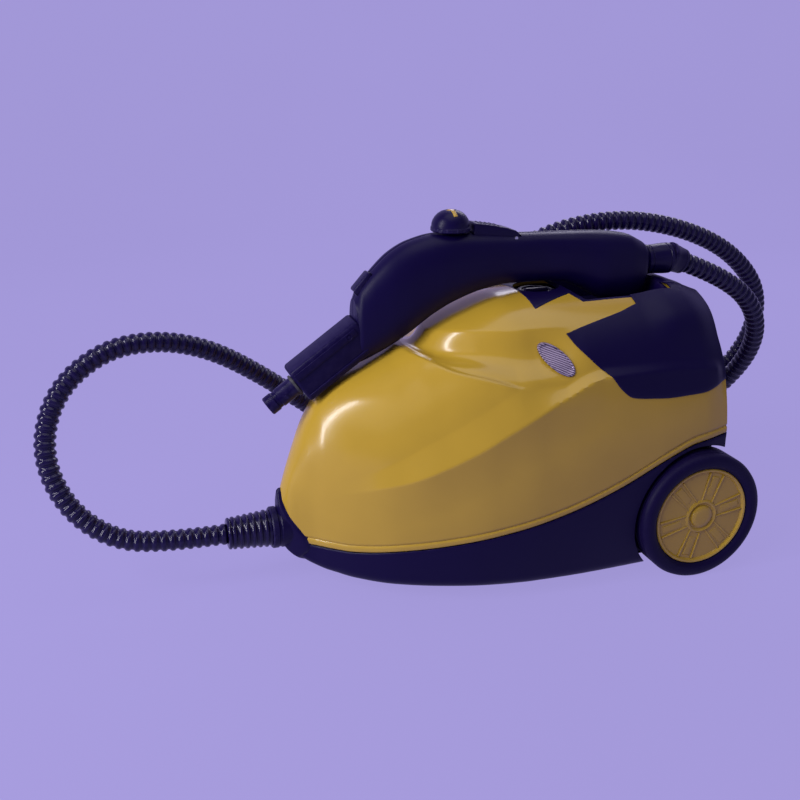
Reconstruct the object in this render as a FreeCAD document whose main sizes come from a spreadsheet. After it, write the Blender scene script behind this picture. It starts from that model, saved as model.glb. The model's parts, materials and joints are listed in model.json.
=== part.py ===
import FreeCAD, Part
import math
import os
import Sketcher

# A canister steam cleaner on two rear wheels and a front caster. Its steam gun is parked on top,
# and the stiff ribbed hose runs from the nose socket, round the far side, into the gun's rear end.
# Frame: millimetres, +Z up, nose towards -X, symmetric about Y = 0. The origin is on the floor,
# under the middle of the machine with its gun (the hose and its cuff left out).

Vector = FreeCAD.Vector
Rotation = FreeCAD.Rotation
UP = Rotation()
ALONG_X = Rotation(Vector(0, 1, 0), 90)
ALONG_Y = Rotation(Vector(1, 0, 0), -90)
FAR = 400.0

doc = FreeCAD.newDocument("steam_cleaner")
sheet = doc.addObject("Spreadsheet::Sheet", "Sizes")

SIZES = {
    # casing
    "wall": 3.0, "hull_rear": 186.0, "widest_level": 0.32, "dome_power": 2.6, "side_power": 2.2,
    # rear wheels
    "wheel_x": 157.0, "wheel_radius": 60.5, "wheel_face": 125.0, "tyre_width": 33.0,
    "hub_radius": 46.5, "axle_radius": 4.0, "running_gap": 0.06,
    # front caster
    "caster_x": -118.0, "caster_radius": 15.0, "caster_width": 15.0, "caster_trail": 13.0,
    # boiler
    "boiler_x": 34.0, "boiler_radius": 72.0, "boiler_floor": 32.0, "boiler_height": 138.0,
    # filler cap
    "cap_x": 40.0, "cap_radius": 18.5, "cap_floor": 236.0, "cap_top": 254.5,
    # nose socket
    "socket_z": 51.0, "socket_radius": 19.0, "socket_face": -216.0,
    # hose
    "hose_radius": 9.5, "hose_bore": 6.0, "cuff_length": 39.0,
    # gun
    "barrel_pitch": 35.0, "barrel_height": 33.0, "barrel_width": 28.0, "barrel_length": 74.0,
    "nozzle_radius": 8.7, "nozzle_bore": 4.5, "nozzle_length": 32.35, "gun_wall": 2.5,
    "dial_x": -45.0, "dial_radius": 17.5, "dial_floor": 311.5, "dial_height": 18.5,
}
for row, (alias, amount) in enumerate(SIZES.items(), start=1):
    sheet.set(f"A{row}", alias)
    sheet.set(f"B{row}", str(amount))
    sheet.setAlias(f"B{row}", alias)
doc.recompute()


class Size:
    """A length that knows both its amount and the formula that ties it to the sheet."""

    def __init__(self, amount, text):
        self.amount = amount
        self.text = text

    def join(self, other, sign, result, swapped=False):
        left, right = (formula(other), self.text) if swapped else (self.text, formula(other))
        return Size(result, f"({left} {sign} {right})")

    def __add__(self, other):
        return self.join(other, "+", self.amount + number(other))

    def __radd__(self, other):
        return self.join(other, "+", number(other) + self.amount, swapped=True)

    def __sub__(self, other):
        return self.join(other, "-", self.amount - number(other))

    def __rsub__(self, other):
        return self.join(other, "-", number(other) - self.amount, swapped=True)

    def __mul__(self, other):
        return self.join(other, "*", self.amount * number(other))

    def __rmul__(self, other):
        return self.join(other, "*", number(other) * self.amount, swapped=True)

    def __neg__(self):
        return 0 - self


def number(value):
    return value.amount if isinstance(value, Size) else float(value)


def formula(value):
    return value.text if isinstance(value, Size) else repr(float(value))


def size(alias):
    return Size(float(sheet.get(alias)), f"Sizes.{alias}")


# ---------------------------------------------------------------- helpers for document objects

nodes = []


def node(obj, name):
    """Mark an object as a sub-part: its label names the exported file."""
    obj.Label = name
    nodes.append(obj)
    return obj


def bind(obj, **sizes):
    for prop, value in sizes.items():
        setattr(obj, prop, number(value))
        if isinstance(value, Size):
            obj.setExpression(prop, value.text)


def place(obj, at, turn=UP):
    obj.Placement = FreeCAD.Placement(Vector(*[number(c) for c in at]), turn)
    for letter, coordinate in zip("xyz", at):
        if isinstance(coordinate, Size):
            obj.setExpression(f"Placement.Base.{letter}", coordinate.text)


def cylinder(name, radius, height, at, turn=UP):
    obj = doc.addObject("Part::Cylinder", name)
    bind(obj, Radius=radius, Height=height)
    place(obj, at, turn)
    return obj


def cone(name, first, last, height, at, turn=UP):
    obj = doc.addObject("Part::Cone", name)
    bind(obj, Radius1=first, Radius2=last, Height=height)
    place(obj, at, turn)
    return obj


def box(name, length, width, height, at, turn=UP):
    """A box centred on `at` in X and Y (before it is turned), standing on `at` in Z."""
    obj = doc.addObject("Part::Box", name)
    bind(obj, Length=length, Width=width, Height=height)
    shift = turn.multVec(Vector(-number(length) / 2, -number(width) / 2, 0))
    place(obj, [c + s for c, s in zip(at, shift)], turn)
    return obj


def feature(name, shape):
    obj = doc.addObject("Part::Feature", name)
    obj.Shape = shape
    return obj


def fuse(name, *parts):
    obj = doc.addObject("Part::MultiFuse", name)
    obj.Shapes = list(parts)
    return obj


def cut(name, base, *tools):
    obj = doc.addObject("Part::Cut", name)
    obj.Base = base
    obj.Tool = tools[0] if len(tools) == 1 else fuse(name + "_tools", *tools)
    return obj


def common(name, *parts):
    obj = doc.addObject("Part::MultiCommon", name)
    obj.Shapes = list(parts)
    return obj


def tube(name, outer, bore, height, at, turn=UP):
    """A round tube: the bore runs through with 1 mm to spare at each end."""
    back = turn.multVec(Vector(0, 0, -1))
    start = [c + s for c, s in zip(at, back)]
    return cut(name, cylinder(name + "_body", outer, height, at, turn),
               cylinder(name + "_bore", bore, height + 2, start, turn))


def sketch_outline(body, role, corners):
    """A closed outline of straight lines on one of the body's origin planes.

    Every corner is dimensioned from the origin and bound to its own formula.
    """
    sketch = body.newObject("Sketcher::SketchObject", body.Name + "_outline")
    plane = next(f for f in body.Origin.OriginFeatures if f.Role == role)
    sketch.AttachmentSupport = [(plane, "")]
    sketch.MapMode = "FlatFace"
    points = [Vector(number(x), number(y), 0) for x, y in corners]
    count = len(points)
    for i in range(count):
        sketch.addGeometry(Part.LineSegment(points[i], points[(i + 1) % count]))
    for i in range(count):
        sketch.addConstraint(Sketcher.Constraint("Coincident", i, 2, (i + 1) % count, 1))
    for i, corner in enumerate(corners):
        for kind, value in zip(("DistanceX", "DistanceY"), corner):
            index = sketch.addConstraint(Sketcher.Constraint(kind, -1, 1, i, 1, number(value)))
            if isinstance(value, Size):
                sketch.setExpression(f"Constraints[{index}]", value.text)
    return sketch


def turned(name, corners, at, turn=UP):
    """A lathe-turned piece: corners are (radius, height) in the XZ plane, spun about Z."""
    body = doc.addObject("PartDesign::Body", name)
    sketch = sketch_outline(body, "XZ_Plane", corners)
    spin = body.newObject("PartDesign::Revolution", name + "_spin")
    spin.Profile = sketch
    spin.ReferenceAxis = (sketch, ["V_Axis"])
    spin.Angle = 360
    place(body, at, turn)
    return body


def padded(name, corners, length, at, turn=UP):
    """A plate: corners are (x, y), raised along Z by `length`."""
    body = doc.addObject("PartDesign::Body", name)
    sketch = sketch_outline(body, "XY_Plane", corners)
    pad = body.newObject("PartDesign::Pad", name + "_pad")
    pad.Profile = sketch
    bind(pad, Length=length)
    place(body, at, turn)
    return body


# ---------------------------------------------------------------- helpers for sculpted shapes

def side_prism(points, smooth=False):
    """A prism across the machine from a closed side-view outline of (x, z) points.

    With smooth, the stretch before the last two points is one curve.
    """
    corners = [Vector(x, -FAR, z) for x, z in points]
    if smooth:
        curve = Part.BSplineCurve()
        curve.interpolate(corners[:-2])
        edges = [curve.toShape()] + Part.makePolygon([corners[-3]] + corners[-2:] + corners[:1]).Edges
        outline = Part.Wire(edges)
    else:
        outline = Part.makePolygon(corners + corners[:1])
    return Part.Face(outline).extrude(Vector(0, 2 * FAR, 0))


def plan_prism(points, low, high):
    """An upright prism from the near half (x, y) of an outline that is symmetric about Y = 0."""
    near = [Vector(x, -y, low) for x, y in points]
    mirrored = [Vector(x, y, low) for x, y in reversed(points) if y > 0]
    outline = near + mirrored
    return Part.Face(Part.makePolygon(outline + outline[:1])).extrude(Vector(0, 0, high - low))


def squircle_arc(x, half, middle, top, samples=8):
    """The domed upper half of a section: a superellipse over the widest level."""
    side = 2 / SIZES["side_power"]
    dome = 2 / SIZES["dome_power"]
    points = []
    for i in range(2 * samples + 1):
        angle = math.pi * i / (2 * samples)
        across = math.copysign(abs(math.cos(angle)) ** side, math.cos(angle))
        points.append(Vector(x, half * across, middle + (top - middle) * math.sin(angle) ** dome))
    points[0] = Vector(x, half, middle)
    points[-1] = Vector(x, -half, middle)
    return points


# Hull stations: x, crest height, half width, keel height.
HULL = [
    (-205, 88, 9, 44), (-200, 104, 15, 34), (-192, 127, 21, 26), (-182, 152, 29, 20),
    (-170, 171, 41, 16), (-150, 186, 59, 13), (-120, 201, 80, 12), (-80, 221, 98, 12),
    (-40, 241, 110, 12), (0, 253, 116, 12), (50, 257, 118, 12), (110, 258, 116.5, 12),
    (160, 257, 112.5, 12), (186, 249, 107, 14),
]


def hull_section(x, crest, half, keel):
    middle = keel + SIZES["widest_level"] * (crest - keel)
    tuck = 0.05 * half
    chine = min(12, 0.25 * half)
    dome = Part.BSplineCurve()
    dome.interpolate(squircle_arc(x, half, middle, crest))
    low = keel + chine
    corners = [Vector(x, -half, middle), Vector(x, -half + tuck, low),
               Vector(x, -half + tuck + chine, keel), Vector(x, half - tuck - chine, keel),
               Vector(x, half - tuck, low), Vector(x, half, middle)]
    return Part.Wire([dome.toShape()] + Part.makePolygon(corners).Edges)


def hull(inset):
    """The whole casing as one solid, drawn in by `inset` all round."""
    front, rear = HULL[0][0], HULL[-1][0]
    squeeze = 1 - 2 * inset / (rear - front)
    centre = (rear + front) / 2
    wires = []
    for x, crest, half, keel in HULL:
        at = centre + (x - centre) * squeeze
        wires.append(hull_section(at, crest - inset, half - inset, keel + inset))
    return Part.makeLoft(wires, True, False)


def ovoid_half(x, top, bottom, half, side, power=2.5, samples=10):
    """One half of a rounded gun section: a bulging curve closed by a straight line at Y = 0."""
    middle, rise = (top + bottom) / 2, (top - bottom) / 2
    points = [Vector(x, 0, bottom)]
    for i in range(1, samples):
        angle = math.pi * (i / samples - 0.5)
        across = math.cos(angle) ** (2 / power)
        upward = math.copysign(abs(math.sin(angle)) ** (2 / power), math.sin(angle))
        points.append(Vector(x, side * half * across, middle + rise * upward))
    points.append(Vector(x, 0, top))
    bulge = Part.BSplineCurve()
    bulge.interpolate(points)
    return Part.Wire([bulge.toShape(), Part.LineSegment(points[-1], points[0]).toShape()])


# Gun stations: x, top, bottom, half width.
GUN = [
    (-134, 262, 199, 15), (-118, 281, 206, 19), (-100, 297, 215, 22), (-84, 305, 225, 23),
    (-62, 310, 240, 23), (-44, 311, 249, 22), (-16, 309, 258, 20), (12, 306.5, 261.5, 18),
    (42, 305.5, 261.5, 18), (62, 305, 259.5, 18.5), (80, 304.5, 253, 19), (105, 303, 240, 21),
    (128, 299.5, 236, 20),
    (142, 293, 241, 17), (150, 288.5, 258, 14),
]


def gun_half(inset, side):
    front, rear = GUN[0][0], GUN[-1][0]
    squeeze = 1 - 2 * inset / (rear - front)
    centre = (front + rear) / 2
    wires = []
    for x, top, bottom, half in GUN:
        at = centre + (x - centre) * squeeze
        wires.append(ovoid_half(at, top - inset, bottom + inset, half - inset, side))
    return Part.makeLoft(wires, True, False)


def rounded_route(points, report=None):
    """Straight runs joined by tangent arcs, each arc as large as its two runs allow."""
    points = [Vector(*p) for p in points]
    edges = []
    here = points[0]
    for before, corner, after in zip(points, points[1:], points[2:]):
        back = (before - corner).normalize()
        ahead = (after - corner).normalize()
        turn = math.pi - back.getAngle(ahead)
        reach = 0.45 * min((corner - before).Length, (after - corner).Length)
        radius = reach / math.tan(turn / 2)
        start = corner + back * reach
        end = corner + ahead * reach
        bisector = (back + ahead).normalize()
        middle = corner + bisector * (radius / math.cos(turn / 2) - radius)
        edges.append(Part.LineSegment(here, start).toShape())
        edges.append(Part.Arc(start, middle, end).toShape())
        here = end
        if report is not None:
            report.append(radius)
    edges.append(Part.LineSegment(here, points[-1]).toShape())
    return Part.Wire(edges)


def swept_rod(route, radius):
    """A round rod along a route, by sweeping one disc."""
    start = route.Edges[0].Vertexes[0].Point
    direction = route.Edges[0].tangentAt(route.Edges[0].FirstParameter)
    ring = Part.Wire([Part.Circle(start, direction, radius).toShape()])
    return route.makePipeShell([ring], True, False)


# ---------------------------------------------------------------- casing

wall = size("wall")
wheel_x, wheel_radius, wheel_face = size("wheel_x"), size("wheel_radius"), size("wheel_face")
axle_radius, gap = size("axle_radius"), size("running_gap")
caster_x = size("caster_x")
cap_x = size("cap_x")
socket_z = size("socket_z")

WELL_GAP = 4.5
well_radius = wheel_radius + WELL_GAP
well_floor = wheel_face - size("tyre_width") - 5
CUP_RADIUS = 30.0
CUP_ROOF = 40.0
CRADLE = {"front": 96.0, "rear": 153.0, "half": 38.0, "floor": 232.0, "lean": 1.44}


def cradle_block(grow):
    """The sunk cradle that takes the gun's heel, with its front and rear walls leaning out."""
    low = CRADLE["floor"] - grow
    rise = 300 - low
    front, rear, half = CRADLE["front"] - grow, CRADLE["rear"] + grow, CRADLE["half"] + grow
    rings = []
    for z, up in ((low, 0.0), (300.0, rise)):
        ahead, behind, side = front - CRADLE["lean"] * up, rear + 0.1 * up, half + 0.2 * up
        corners = [Vector(ahead, -side, z), Vector(behind, -side, z),
                   Vector(behind, side, z), Vector(ahead, side, z)]
        rings.append(Part.makePolygon(corners + corners[:1]))
    return Part.makeLoft(rings, True, True)


def hollows(name, grow):
    """The wheel wells, the caster's cup and the gun cradle, grown by the wall for the inside."""
    parts = []
    for side in (-1, 1):
        turn = ALONG_Y if side > 0 else Rotation(Vector(1, 0, 0), 90)
        parts.append(cylinder(f"{name}_well_{'far' if side > 0 else 'near'}", well_radius + grow, 60,
                              (wheel_x, side * (well_floor - grow), wheel_radius), turn))
    parts.append(cylinder(name + "_cup", CUP_RADIUS + grow, CUP_ROOF + grow, (caster_x, 0, 0)))
    parts.append(feature(name + "_cradle", cradle_block(grow)))
    return fuse(name, *parts)


SEAM = [(-230, 40), (-163, 42), (-117, 50), (-51, 63), (15, 79), (71, 98), (128, 122), (151, 129),
        (230, 136), (230, -50), (-230, -50)]
WING = [(39, 233), (46, 218), (61, 199), (79, 181), (88, 177), (127, 174), (153, 175.5), (230, 186),
        (230, 330), (39, 330)]
TONGUE = [(-20, 66), (39, 66), (117, 51), (88, 50), (81, 46), (74, 24)]
INSET = [(18, 45), (73.8, 24.6)]

outside = cut("outside", feature("hull_outer", hull(0)), hollows("hollows_outer", 0))
inside = cut("inside", feature("hull_inner", hull(SIZES["wall"])), hollows("hollows_inner", SIZES["wall"]))
skin = cut("skin", outside, inside)
below_seam = feature("below_seam", side_prism(SEAM, smooth=True))
upper_skin = cut("upper_skin", skin, below_seam)
wing_zone = feature("wing_zone", side_prism(WING))
tongue_zone = feature("tongue_zone", plan_prism(TONGUE, 150, 330))
cover_zone = cut("cover_zone", wing_zone, tongue_zone)
inset_zone = feature("inset_zone", plan_prism(INSET, 150, 330))

axle_hole = cylinder("axle_hole", axle_radius + 0.1, 260, (wheel_x, -130, wheel_radius), ALONG_Y)
stem_hole = cylinder("stem_hole", 4.0 + gap, 40, (caster_x, 0, CUP_ROOF - 5))
stem_boss = tube("stem_boss", 9, 4.0 + gap, 16, (caster_x, 0, CUP_ROOF + wall - 0.5))
SCREW_SPOTS = [(-60, 62), (-60, -62), (84, 84), (84, -84)]
screw_holes = [cylinder(f"screw_hole_{i}", 4.3, 8, (x, y, 8)) for i, (x, y) in enumerate(SCREW_SPOTS)]
gland_hole = cylinder("gland_hole", 8.1, 20, (176, 48, 96), ALONG_X)
SOCKET_BORE = 10.0
socket_hole = cylinder("socket_hole", 14.1, 40, (-222, 0, socket_z), ALONG_X)

base_raw = common("base_raw", skin, below_seam)
base_holed = cut("base_holed", base_raw, axle_hole, stem_hole, gland_hole, socket_hole, *screw_holes)
node(fuse("base_shell_body", base_holed, stem_boss), "base_shell")

upper_raw = cut("upper_raw", upper_skin, cover_zone, inset_zone, socket_hole)
node(upper_raw, "upper_shell")

rocker_hole = box("rocker_hole", 20, 31, 23, (186, -24, 200))
lamp_holes = [cylinder(f"lamp_hole_{i}", 4.1, 20, (176, -58, z), ALONG_X) for i, z in enumerate((204, 220))]
node(cut("rear_cover_body", common("cover_raw", upper_skin, cover_zone), rocker_hole, *lamp_holes),
     "rear_cover")

cap_well = cylinder("cap_well", size("cap_radius") + 3, 60, (cap_x, 0, 215))
node(cut("deck_panel_body", common("deck_raw", upper_skin, inset_zone), cap_well), "deck_panel")
node(turned("cap_cup_body", [
    (15.2, 0), (size("cap_radius") + 4.5, 0), (size("cap_radius") + 4.5, 21), (size("cap_radius") + 3, 21),
    (size("cap_radius") + 3, 2), (15.2, 2)], (cap_x, 0, 228)), "cap_cup")

# ---------------------------------------------------------------- nose socket

SHIELD = [(0, 91), (-9, 77), (-20, 59), (-28, 43), (-28, 33), (-12, 18), (0, 14)]
shield_mirror = [(-y, z) for y, z in reversed(SHIELD[1:-1])]
shield_outline = [Vector(-FAR, y, z) for y, z in SHIELD + shield_mirror]
shield = Part.Face(Part.makePolygon(shield_outline + shield_outline[:1])).extrude(Vector(FAR - 172, 0, 0))
flange_band = common("flange_band", feature("shield", shield), feature("hull_grown", hull(-3.2)))
flange_raw = cut("flange_raw", flange_band, feature("hull_plain", hull(0)))
collar = cylinder("collar", size("socket_radius"), 22, (size("socket_face"), 0, socket_z), ALONG_X)
collar_trim = cut("collar_trim", collar, feature("hull_plain_again", hull(0)))
socket_bore = cylinder("socket_bore", SOCKET_BORE, 36, (-226, 0, socket_z), ALONG_X)
pipe_seat = cylinder("pipe_seat", 3.5, 40, (-200, 0, socket_z), ALONG_X)
spigot = cylinder("spigot", 14, 32, (-206, 0, socket_z), ALONG_X)
socket_raw = fuse("nose_socket_raw", flange_raw, collar_trim, spigot)
node(cut("nose_socket_body", socket_raw, socket_bore, pipe_seat), "nose_socket")

# ---------------------------------------------------------------- boiler and plumbing

boiler_x, boiler_radius = size("boiler_x"), size("boiler_radius")
boiler_floor, boiler_height = size("boiler_floor"), size("boiler_height")
POT_WALL = 2.0
pot_top = boiler_floor + boiler_height
node(turned("boiler_pot_body", [
    (0, 0), (boiler_radius - 8, 0), (boiler_radius, 8), (boiler_radius, boiler_height - 4),
    (boiler_radius + 9, boiler_height - 4), (boiler_radius + 9, boiler_height),
    (boiler_radius - POT_WALL, boiler_height), (boiler_radius - POT_WALL, 9),
    (boiler_radius - 9, POT_WALL), (0, POT_WALL)], (boiler_x, 0, boiler_floor)), "boiler_pot")

node(turned("boiler_gasket_body", [
    (boiler_radius - POT_WALL, 0), (boiler_radius + 5, 0), (boiler_radius + 5, 1.5),
    (boiler_radius - POT_WALL, 1.5)], (boiler_x, 0, pot_top)), "boiler_gasket")

lid_floor = pot_top + 1.5
neck_x = cap_x - boiler_x
lid_blank = turned("lid_blank", [
    (0, 16), (boiler_radius - 22, 16), (boiler_radius - 4, 3), (boiler_radius + 9, 3),
    (boiler_radius + 9, 0), (boiler_radius - 5, 0), (boiler_radius - 23, 13), (0, 13)],
    (boiler_x, 0, lid_floor))
BOLT_RING = 77.5
BOLT_COUNT = 8
bolt_spots = []
for k in range(BOLT_COUNT):
    angle = 2 * math.pi * (k + 0.5) / BOLT_COUNT
    bolt_spots.append((boiler_x + BOLT_RING * math.cos(angle), BOLT_RING * math.sin(angle)))
lid_holes = [cylinder(f"lid_hole_{k}", 2.2, 12, (x, y, pot_top - 6)) for k, (x, y) in enumerate(bolt_spots)]
neck_hole = cylinder("neck_hole", 12, 30, (cap_x, 0, lid_floor + 6))
node(cut("boiler_lid_body", lid_blank, neck_hole, *lid_holes), "boiler_lid")
pot_holes = [cylinder(f"pot_hole_{k}", 2.2, 12, (x, y, pot_top - 6)) for k, (x, y) in enumerate(bolt_spots)]
pot = nodes[[n.Label for n in nodes].index("boiler_pot")]
pot.Label = "boiler_pot_blank"
nodes.remove(pot)
gasket = nodes[[n.Label for n in nodes].index("boiler_gasket")]
gasket.Label = "boiler_gasket_blank"
nodes.remove(gasket)
node(cut("boiler_pot_drilled", pot, *pot_holes), "boiler_pot")
gasket_holes = [cylinder(f"gasket_hole_{k}", 2.2, 12, (x, y, pot_top - 6))
                for k, (x, y) in enumerate(bolt_spots)]
node(cut("boiler_gasket_drilled", gasket, *gasket_holes), "boiler_gasket")


def lid_bolt(k, x, y):
    shank = cylinder(f"bolt_shank_{k}", 2, 16, (x, y, pot_top - 9))
    head = cylinder(f"bolt_head_{k}", 3.8, 4, (x, y, lid_floor + 3))
    nut = cylinder(f"bolt_nut_{k}", 3.8, 3.4, (x, y, pot_top - 7.6))
    return fuse(f"bolt_{k}", shank, head, nut)


lid_bolts = [lid_bolt(k, x, y) for k, (x, y) in enumerate(bolt_spots)]
group = doc.addObject("Part::Compound", "boiler_bolts_group")
group.Links = lid_bolts
node(group, "boiler_bolts")

neck_top = size("cap_floor")
node(cut("filler_neck_body",
         fuse("neck_raw", cylinder("neck_pipe", 11.9, neck_top - lid_floor - 8, (cap_x, 0, lid_floor + 8)),
              cylinder("neck_rim", 15, 4, (cap_x, 0, neck_top - 4)),
              cylinder("neck_foot", 16, 3, (cap_x, 0, lid_floor + 16))),
         cylinder("neck_bore", 9.5, 90, (cap_x, 0, lid_floor))), "filler_neck")

HEATER_RING = 50.0
heater_ring = doc.addObject("Part::Torus", "heater_ring")
bind(heater_ring, Radius1=HEATER_RING, Radius2=4, Angle3=330)
place(heater_ring, (boiler_x, 0, boiler_floor + POT_WALL + 9), Rotation(Vector(0, 0, 1), 15))
node(heater_ring, "heating_element")

bracket_raw = tube("bracket_raw", 60, 52, boiler_floor - 12 - wall - 0.15, (boiler_x, 0, 12.15 + wall))
bracket_feet = [box(f"bracket_gap_{k}", 140, 40, 9, (boiler_x, 0, 18), Rotation(Vector(0, 0, 1), 60 * k))
                for k in range(3)]
node(cut("boiler_bracket_body", bracket_raw, *bracket_feet), "boiler_bracket")

node(fuse("thermostat_body", cylinder("thermostat_can", 8, 9, (boiler_x - 30, 34, lid_floor + 16)),
          box("thermostat_tabs", 20, 6, 1.2, (boiler_x - 30, 34, lid_floor + 24.5))), "thermostat")
node(fuse("thermal_fuse_body", cylinder("fuse_can", 6, 8, (boiler_x - 30, -34, lid_floor + 16)),
          box("fuse_tabs", 16, 5, 1.2, (boiler_x - 30, -34, lid_floor + 23.5))), "thermal_fuse")

valve_x = boiler_x - 24
valve_z = lid_floor + 16
node(fuse("steam_valve_body", box("valve_block", 20, 20, 14, (valve_x, 0, valve_z)),
          cylinder("valve_coil", 11, 24, (valve_x, 0, valve_z + 14))), "steam_valve")
PIPE_RADIUS = 3.5
steam_route = rounded_route([
    (number(valve_x) - 10, 0, number(valve_z) + 7), (-44, 0, number(valve_z) + 4), (-88, 0, 148),
    (-118, 0, 102), (-140, 0, 61), (-164, 0, number(socket_z)), (-188, 0, number(socket_z))])
node(feature("steam_pipe_body", swept_rod(steam_route, PIPE_RADIUS)), "steam_pipe")

node(box("terminal_block_body", 16, 46, 14, (174.8, 20, 148)), "terminal_block")
node(cut("cord_gland_body",
         fuse("gland_raw", cylinder("gland_thread", 8, 14, (178, 48, 96), ALONG_X),
              cylinder("gland_nut", 11, 8, (size("hull_rear") + 0.2, 48, 96), ALONG_X)),
         cylinder("gland_bore", 4, 40, (170, 48, 96), ALONG_X)), "cord_gland")

lamps = doc.addObject("Part::Compound", "indicator_lamps_group")
lamps.Links = [cylinder(f"lamp_{i}", 4, 14, (174, -58, z), ALONG_X) for i, z in enumerate((204, 220))]
node(lamps, "indicator_lamps")

screws = doc.addObject("Part::Compound", "case_screws_group")
screws.Links = [cylinder(f"screw_{i}", 4.1, 14, (x, y, 13)) for i, (x, y) in enumerate(SCREW_SPOTS)]
node(screws, "case_screws")

# Oval badges on both flanks: thin plates that follow the hull, leaning back like the wing's edge.
BADGE = {"x": 21.0, "z": 213.0, "long": 16.0, "short": 8.5, "lean": -42.0, "proud": 0.8}
oval = Part.Ellipse(Vector(0, 0, 0), BADGE["long"], BADGE["short"]).toShape()
badge_cutter = Part.Face(Part.Wire([oval])).extrude(Vector(0, 0, 2 * FAR))
badge_cutter.rotate(Vector(0, 0, 0), Vector(0, 0, 1), -BADGE["lean"])
badge_cutter.rotate(Vector(0, 0, 0), Vector(1, 0, 0), -90)
badge_cutter.translate(Vector(BADGE["x"], -FAR, BADGE["z"]))
badge_band = cut("badge_band", feature("hull_badge", hull(-BADGE["proud"])), feature("hull_flush", hull(0)))
node(common("side_badges_body", badge_band, feature("badge_ovals", badge_cutter)), "side_badges")

# ---------------------------------------------------------------- rear wheels

node(cylinder("rear_axle_body", axle_radius, 238, (wheel_x, -119, wheel_radius), ALONG_Y), "rear_axle")


def wheel(side):
    """One rear wheel: a black tyre and drum, and a yellow disc with six ribs, on the axle."""
    name = "far" if side > 0 else "near"
    turn = ALONG_Y if side > 0 else Rotation(Vector(1, 0, 0), 90)
    hub_radius = size("hub_radius")
    width = size("tyre_width")
    inner_face = wheel_face - width
    centre = (wheel_x, side * inner_face, wheel_radius)
    tyre = turned(f"tyre_{name}_body", [
        (hub_radius - 12, 0), (wheel_radius - 5, 0), (wheel_radius, 5), (wheel_radius, width - 5),
        (wheel_radius - 5, width), (hub_radius + 1, width), (hub_radius + 0.3, width - 1),
        (hub_radius + 0.3, 6), (hub_radius - 12, 6)], centre, turn)
    node(tyre, f"tyre_{name}")
    bore = axle_radius + gap
    disc = turned(f"disc_{name}_body", [
        (bore, 1), (14, 1), (14, 6.2), (hub_radius, 6.2), (hub_radius, width - 3.5),
        (hub_radius - 5, width - 3.5), (hub_radius - 5, width - 6.5), (14, width - 6.5),
        (14, width - 7.5), (bore, width - 7.5)], centre, turn)
    ribs = []
    for k in range(6):
        spoke = Rotation(Vector(0, 1, 0), 60 * k + 30)
        start = spoke.multVec(Vector(26, 0, 0))
        ribs.append(box(f"rib_{name}_{k}", 26, 2.4, 3,
                        (wheel_x + start.x, side * (wheel_face - 7), wheel_radius + start.z),
                        spoke * turn))
    trimmed = cut(f"disc_{name}_open", disc,
                  tube(f"disc_{name}_hollow", hub_radius - 4, 15, width - 16,
                       (wheel_x, side * (inner_face + 9), wheel_radius), turn))
    node(fuse(f"wheel_disc_{name}_body", trimmed, *ribs), f"wheel_disc_{name}")


for wheel_side in (-1, 1):
    wheel(wheel_side)

clip_parts = []
for clip_side in (-1, 1):
    clip_turn = ALONG_Y if clip_side > 0 else Rotation(Vector(1, 0, 0), 90)
    clip_parts.append(tube(f"axle_clip_{'far' if clip_side > 0 else 'near'}", 8, axle_radius, 1.2,
                           (wheel_x, clip_side * (wheel_face - 7.4), wheel_radius), clip_turn))
clips = doc.addObject("Part::Compound", "axle_clips_group")
clips.Links = clip_parts
node(clips, "axle_clips")

# ---------------------------------------------------------------- front caster

caster_radius, caster_width = size("caster_radius"), size("caster_width")
caster_trail = size("caster_trail")
FORK_PLATE = 34.0
EAR = 2.5
fork_plate = cylinder("fork_plate", 16, 4, (caster_x, 0, FORK_PLATE))
fork_stem = cylinder("fork_stem", 4.0, 24, (caster_x, 0, FORK_PLATE + 3))
fork_ears = []
for ear_side in (-1, 1):
    ear_y = ear_side * (caster_width * 0.5 + 0.5 + EAR / 2)
    fork_ears.append(padded(f"fork_ear_{'far' if ear_side > 0 else 'near'}", [
        (-10, 20), (12, 20), (caster_trail + 5, 3), (caster_trail + 5, -5), (caster_trail - 5, -5)],
        EAR, (caster_x, ear_y + EAR / 2, caster_radius), Rotation(Vector(1, 0, 0), 90)))
fork_bore = cylinder("fork_bore", 2.5, 40, (caster_x + caster_trail, -20, caster_radius), ALONG_Y)
node(cut("caster_fork_body", fuse("fork_raw", fork_plate, fork_stem, *fork_ears), fork_bore), "caster_fork")
node(cylinder("caster_pin_body", 2.5, caster_width + 5.8,
              (caster_x + caster_trail, -(caster_width * 0.5 + 2.9), caster_radius), ALONG_Y), "caster_pin")
node(turned("caster_wheel_body", [
    (2.5 + gap, 0), (caster_radius - 2, 0), (caster_radius, 2), (caster_radius, caster_width - 2),
    (caster_radius - 2, caster_width), (2.5 + gap, caster_width)],
    (caster_x + caster_trail, -(caster_width * 0.5), caster_radius), ALONG_Y), "caster_wheel")

# ---------------------------------------------------------------- switch and filler cap

node(cut("rocker_frame_body", box("frame_block", 13, 31, 23, (182.3, -24, 200)),
         box("frame_window", 30, 25, 17, (182.3, -24, 203))), "rocker_frame")
ROCKER_TILT = Rotation(Vector(0, 1, 0), -8)
rocker_foot = Vector(184.5, -24, 211.5) + ROCKER_TILT.multVec(Vector(2, 0, -6))
node(fuse("power_rocker_body", box("rocker_block", 8, 24, 12, tuple(rocker_foot), ROCKER_TILT),
          cylinder("rocker_barrel", 3, 24, (184.5, -36, 211.5), ALONG_Y)), "power_rocker")

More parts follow.
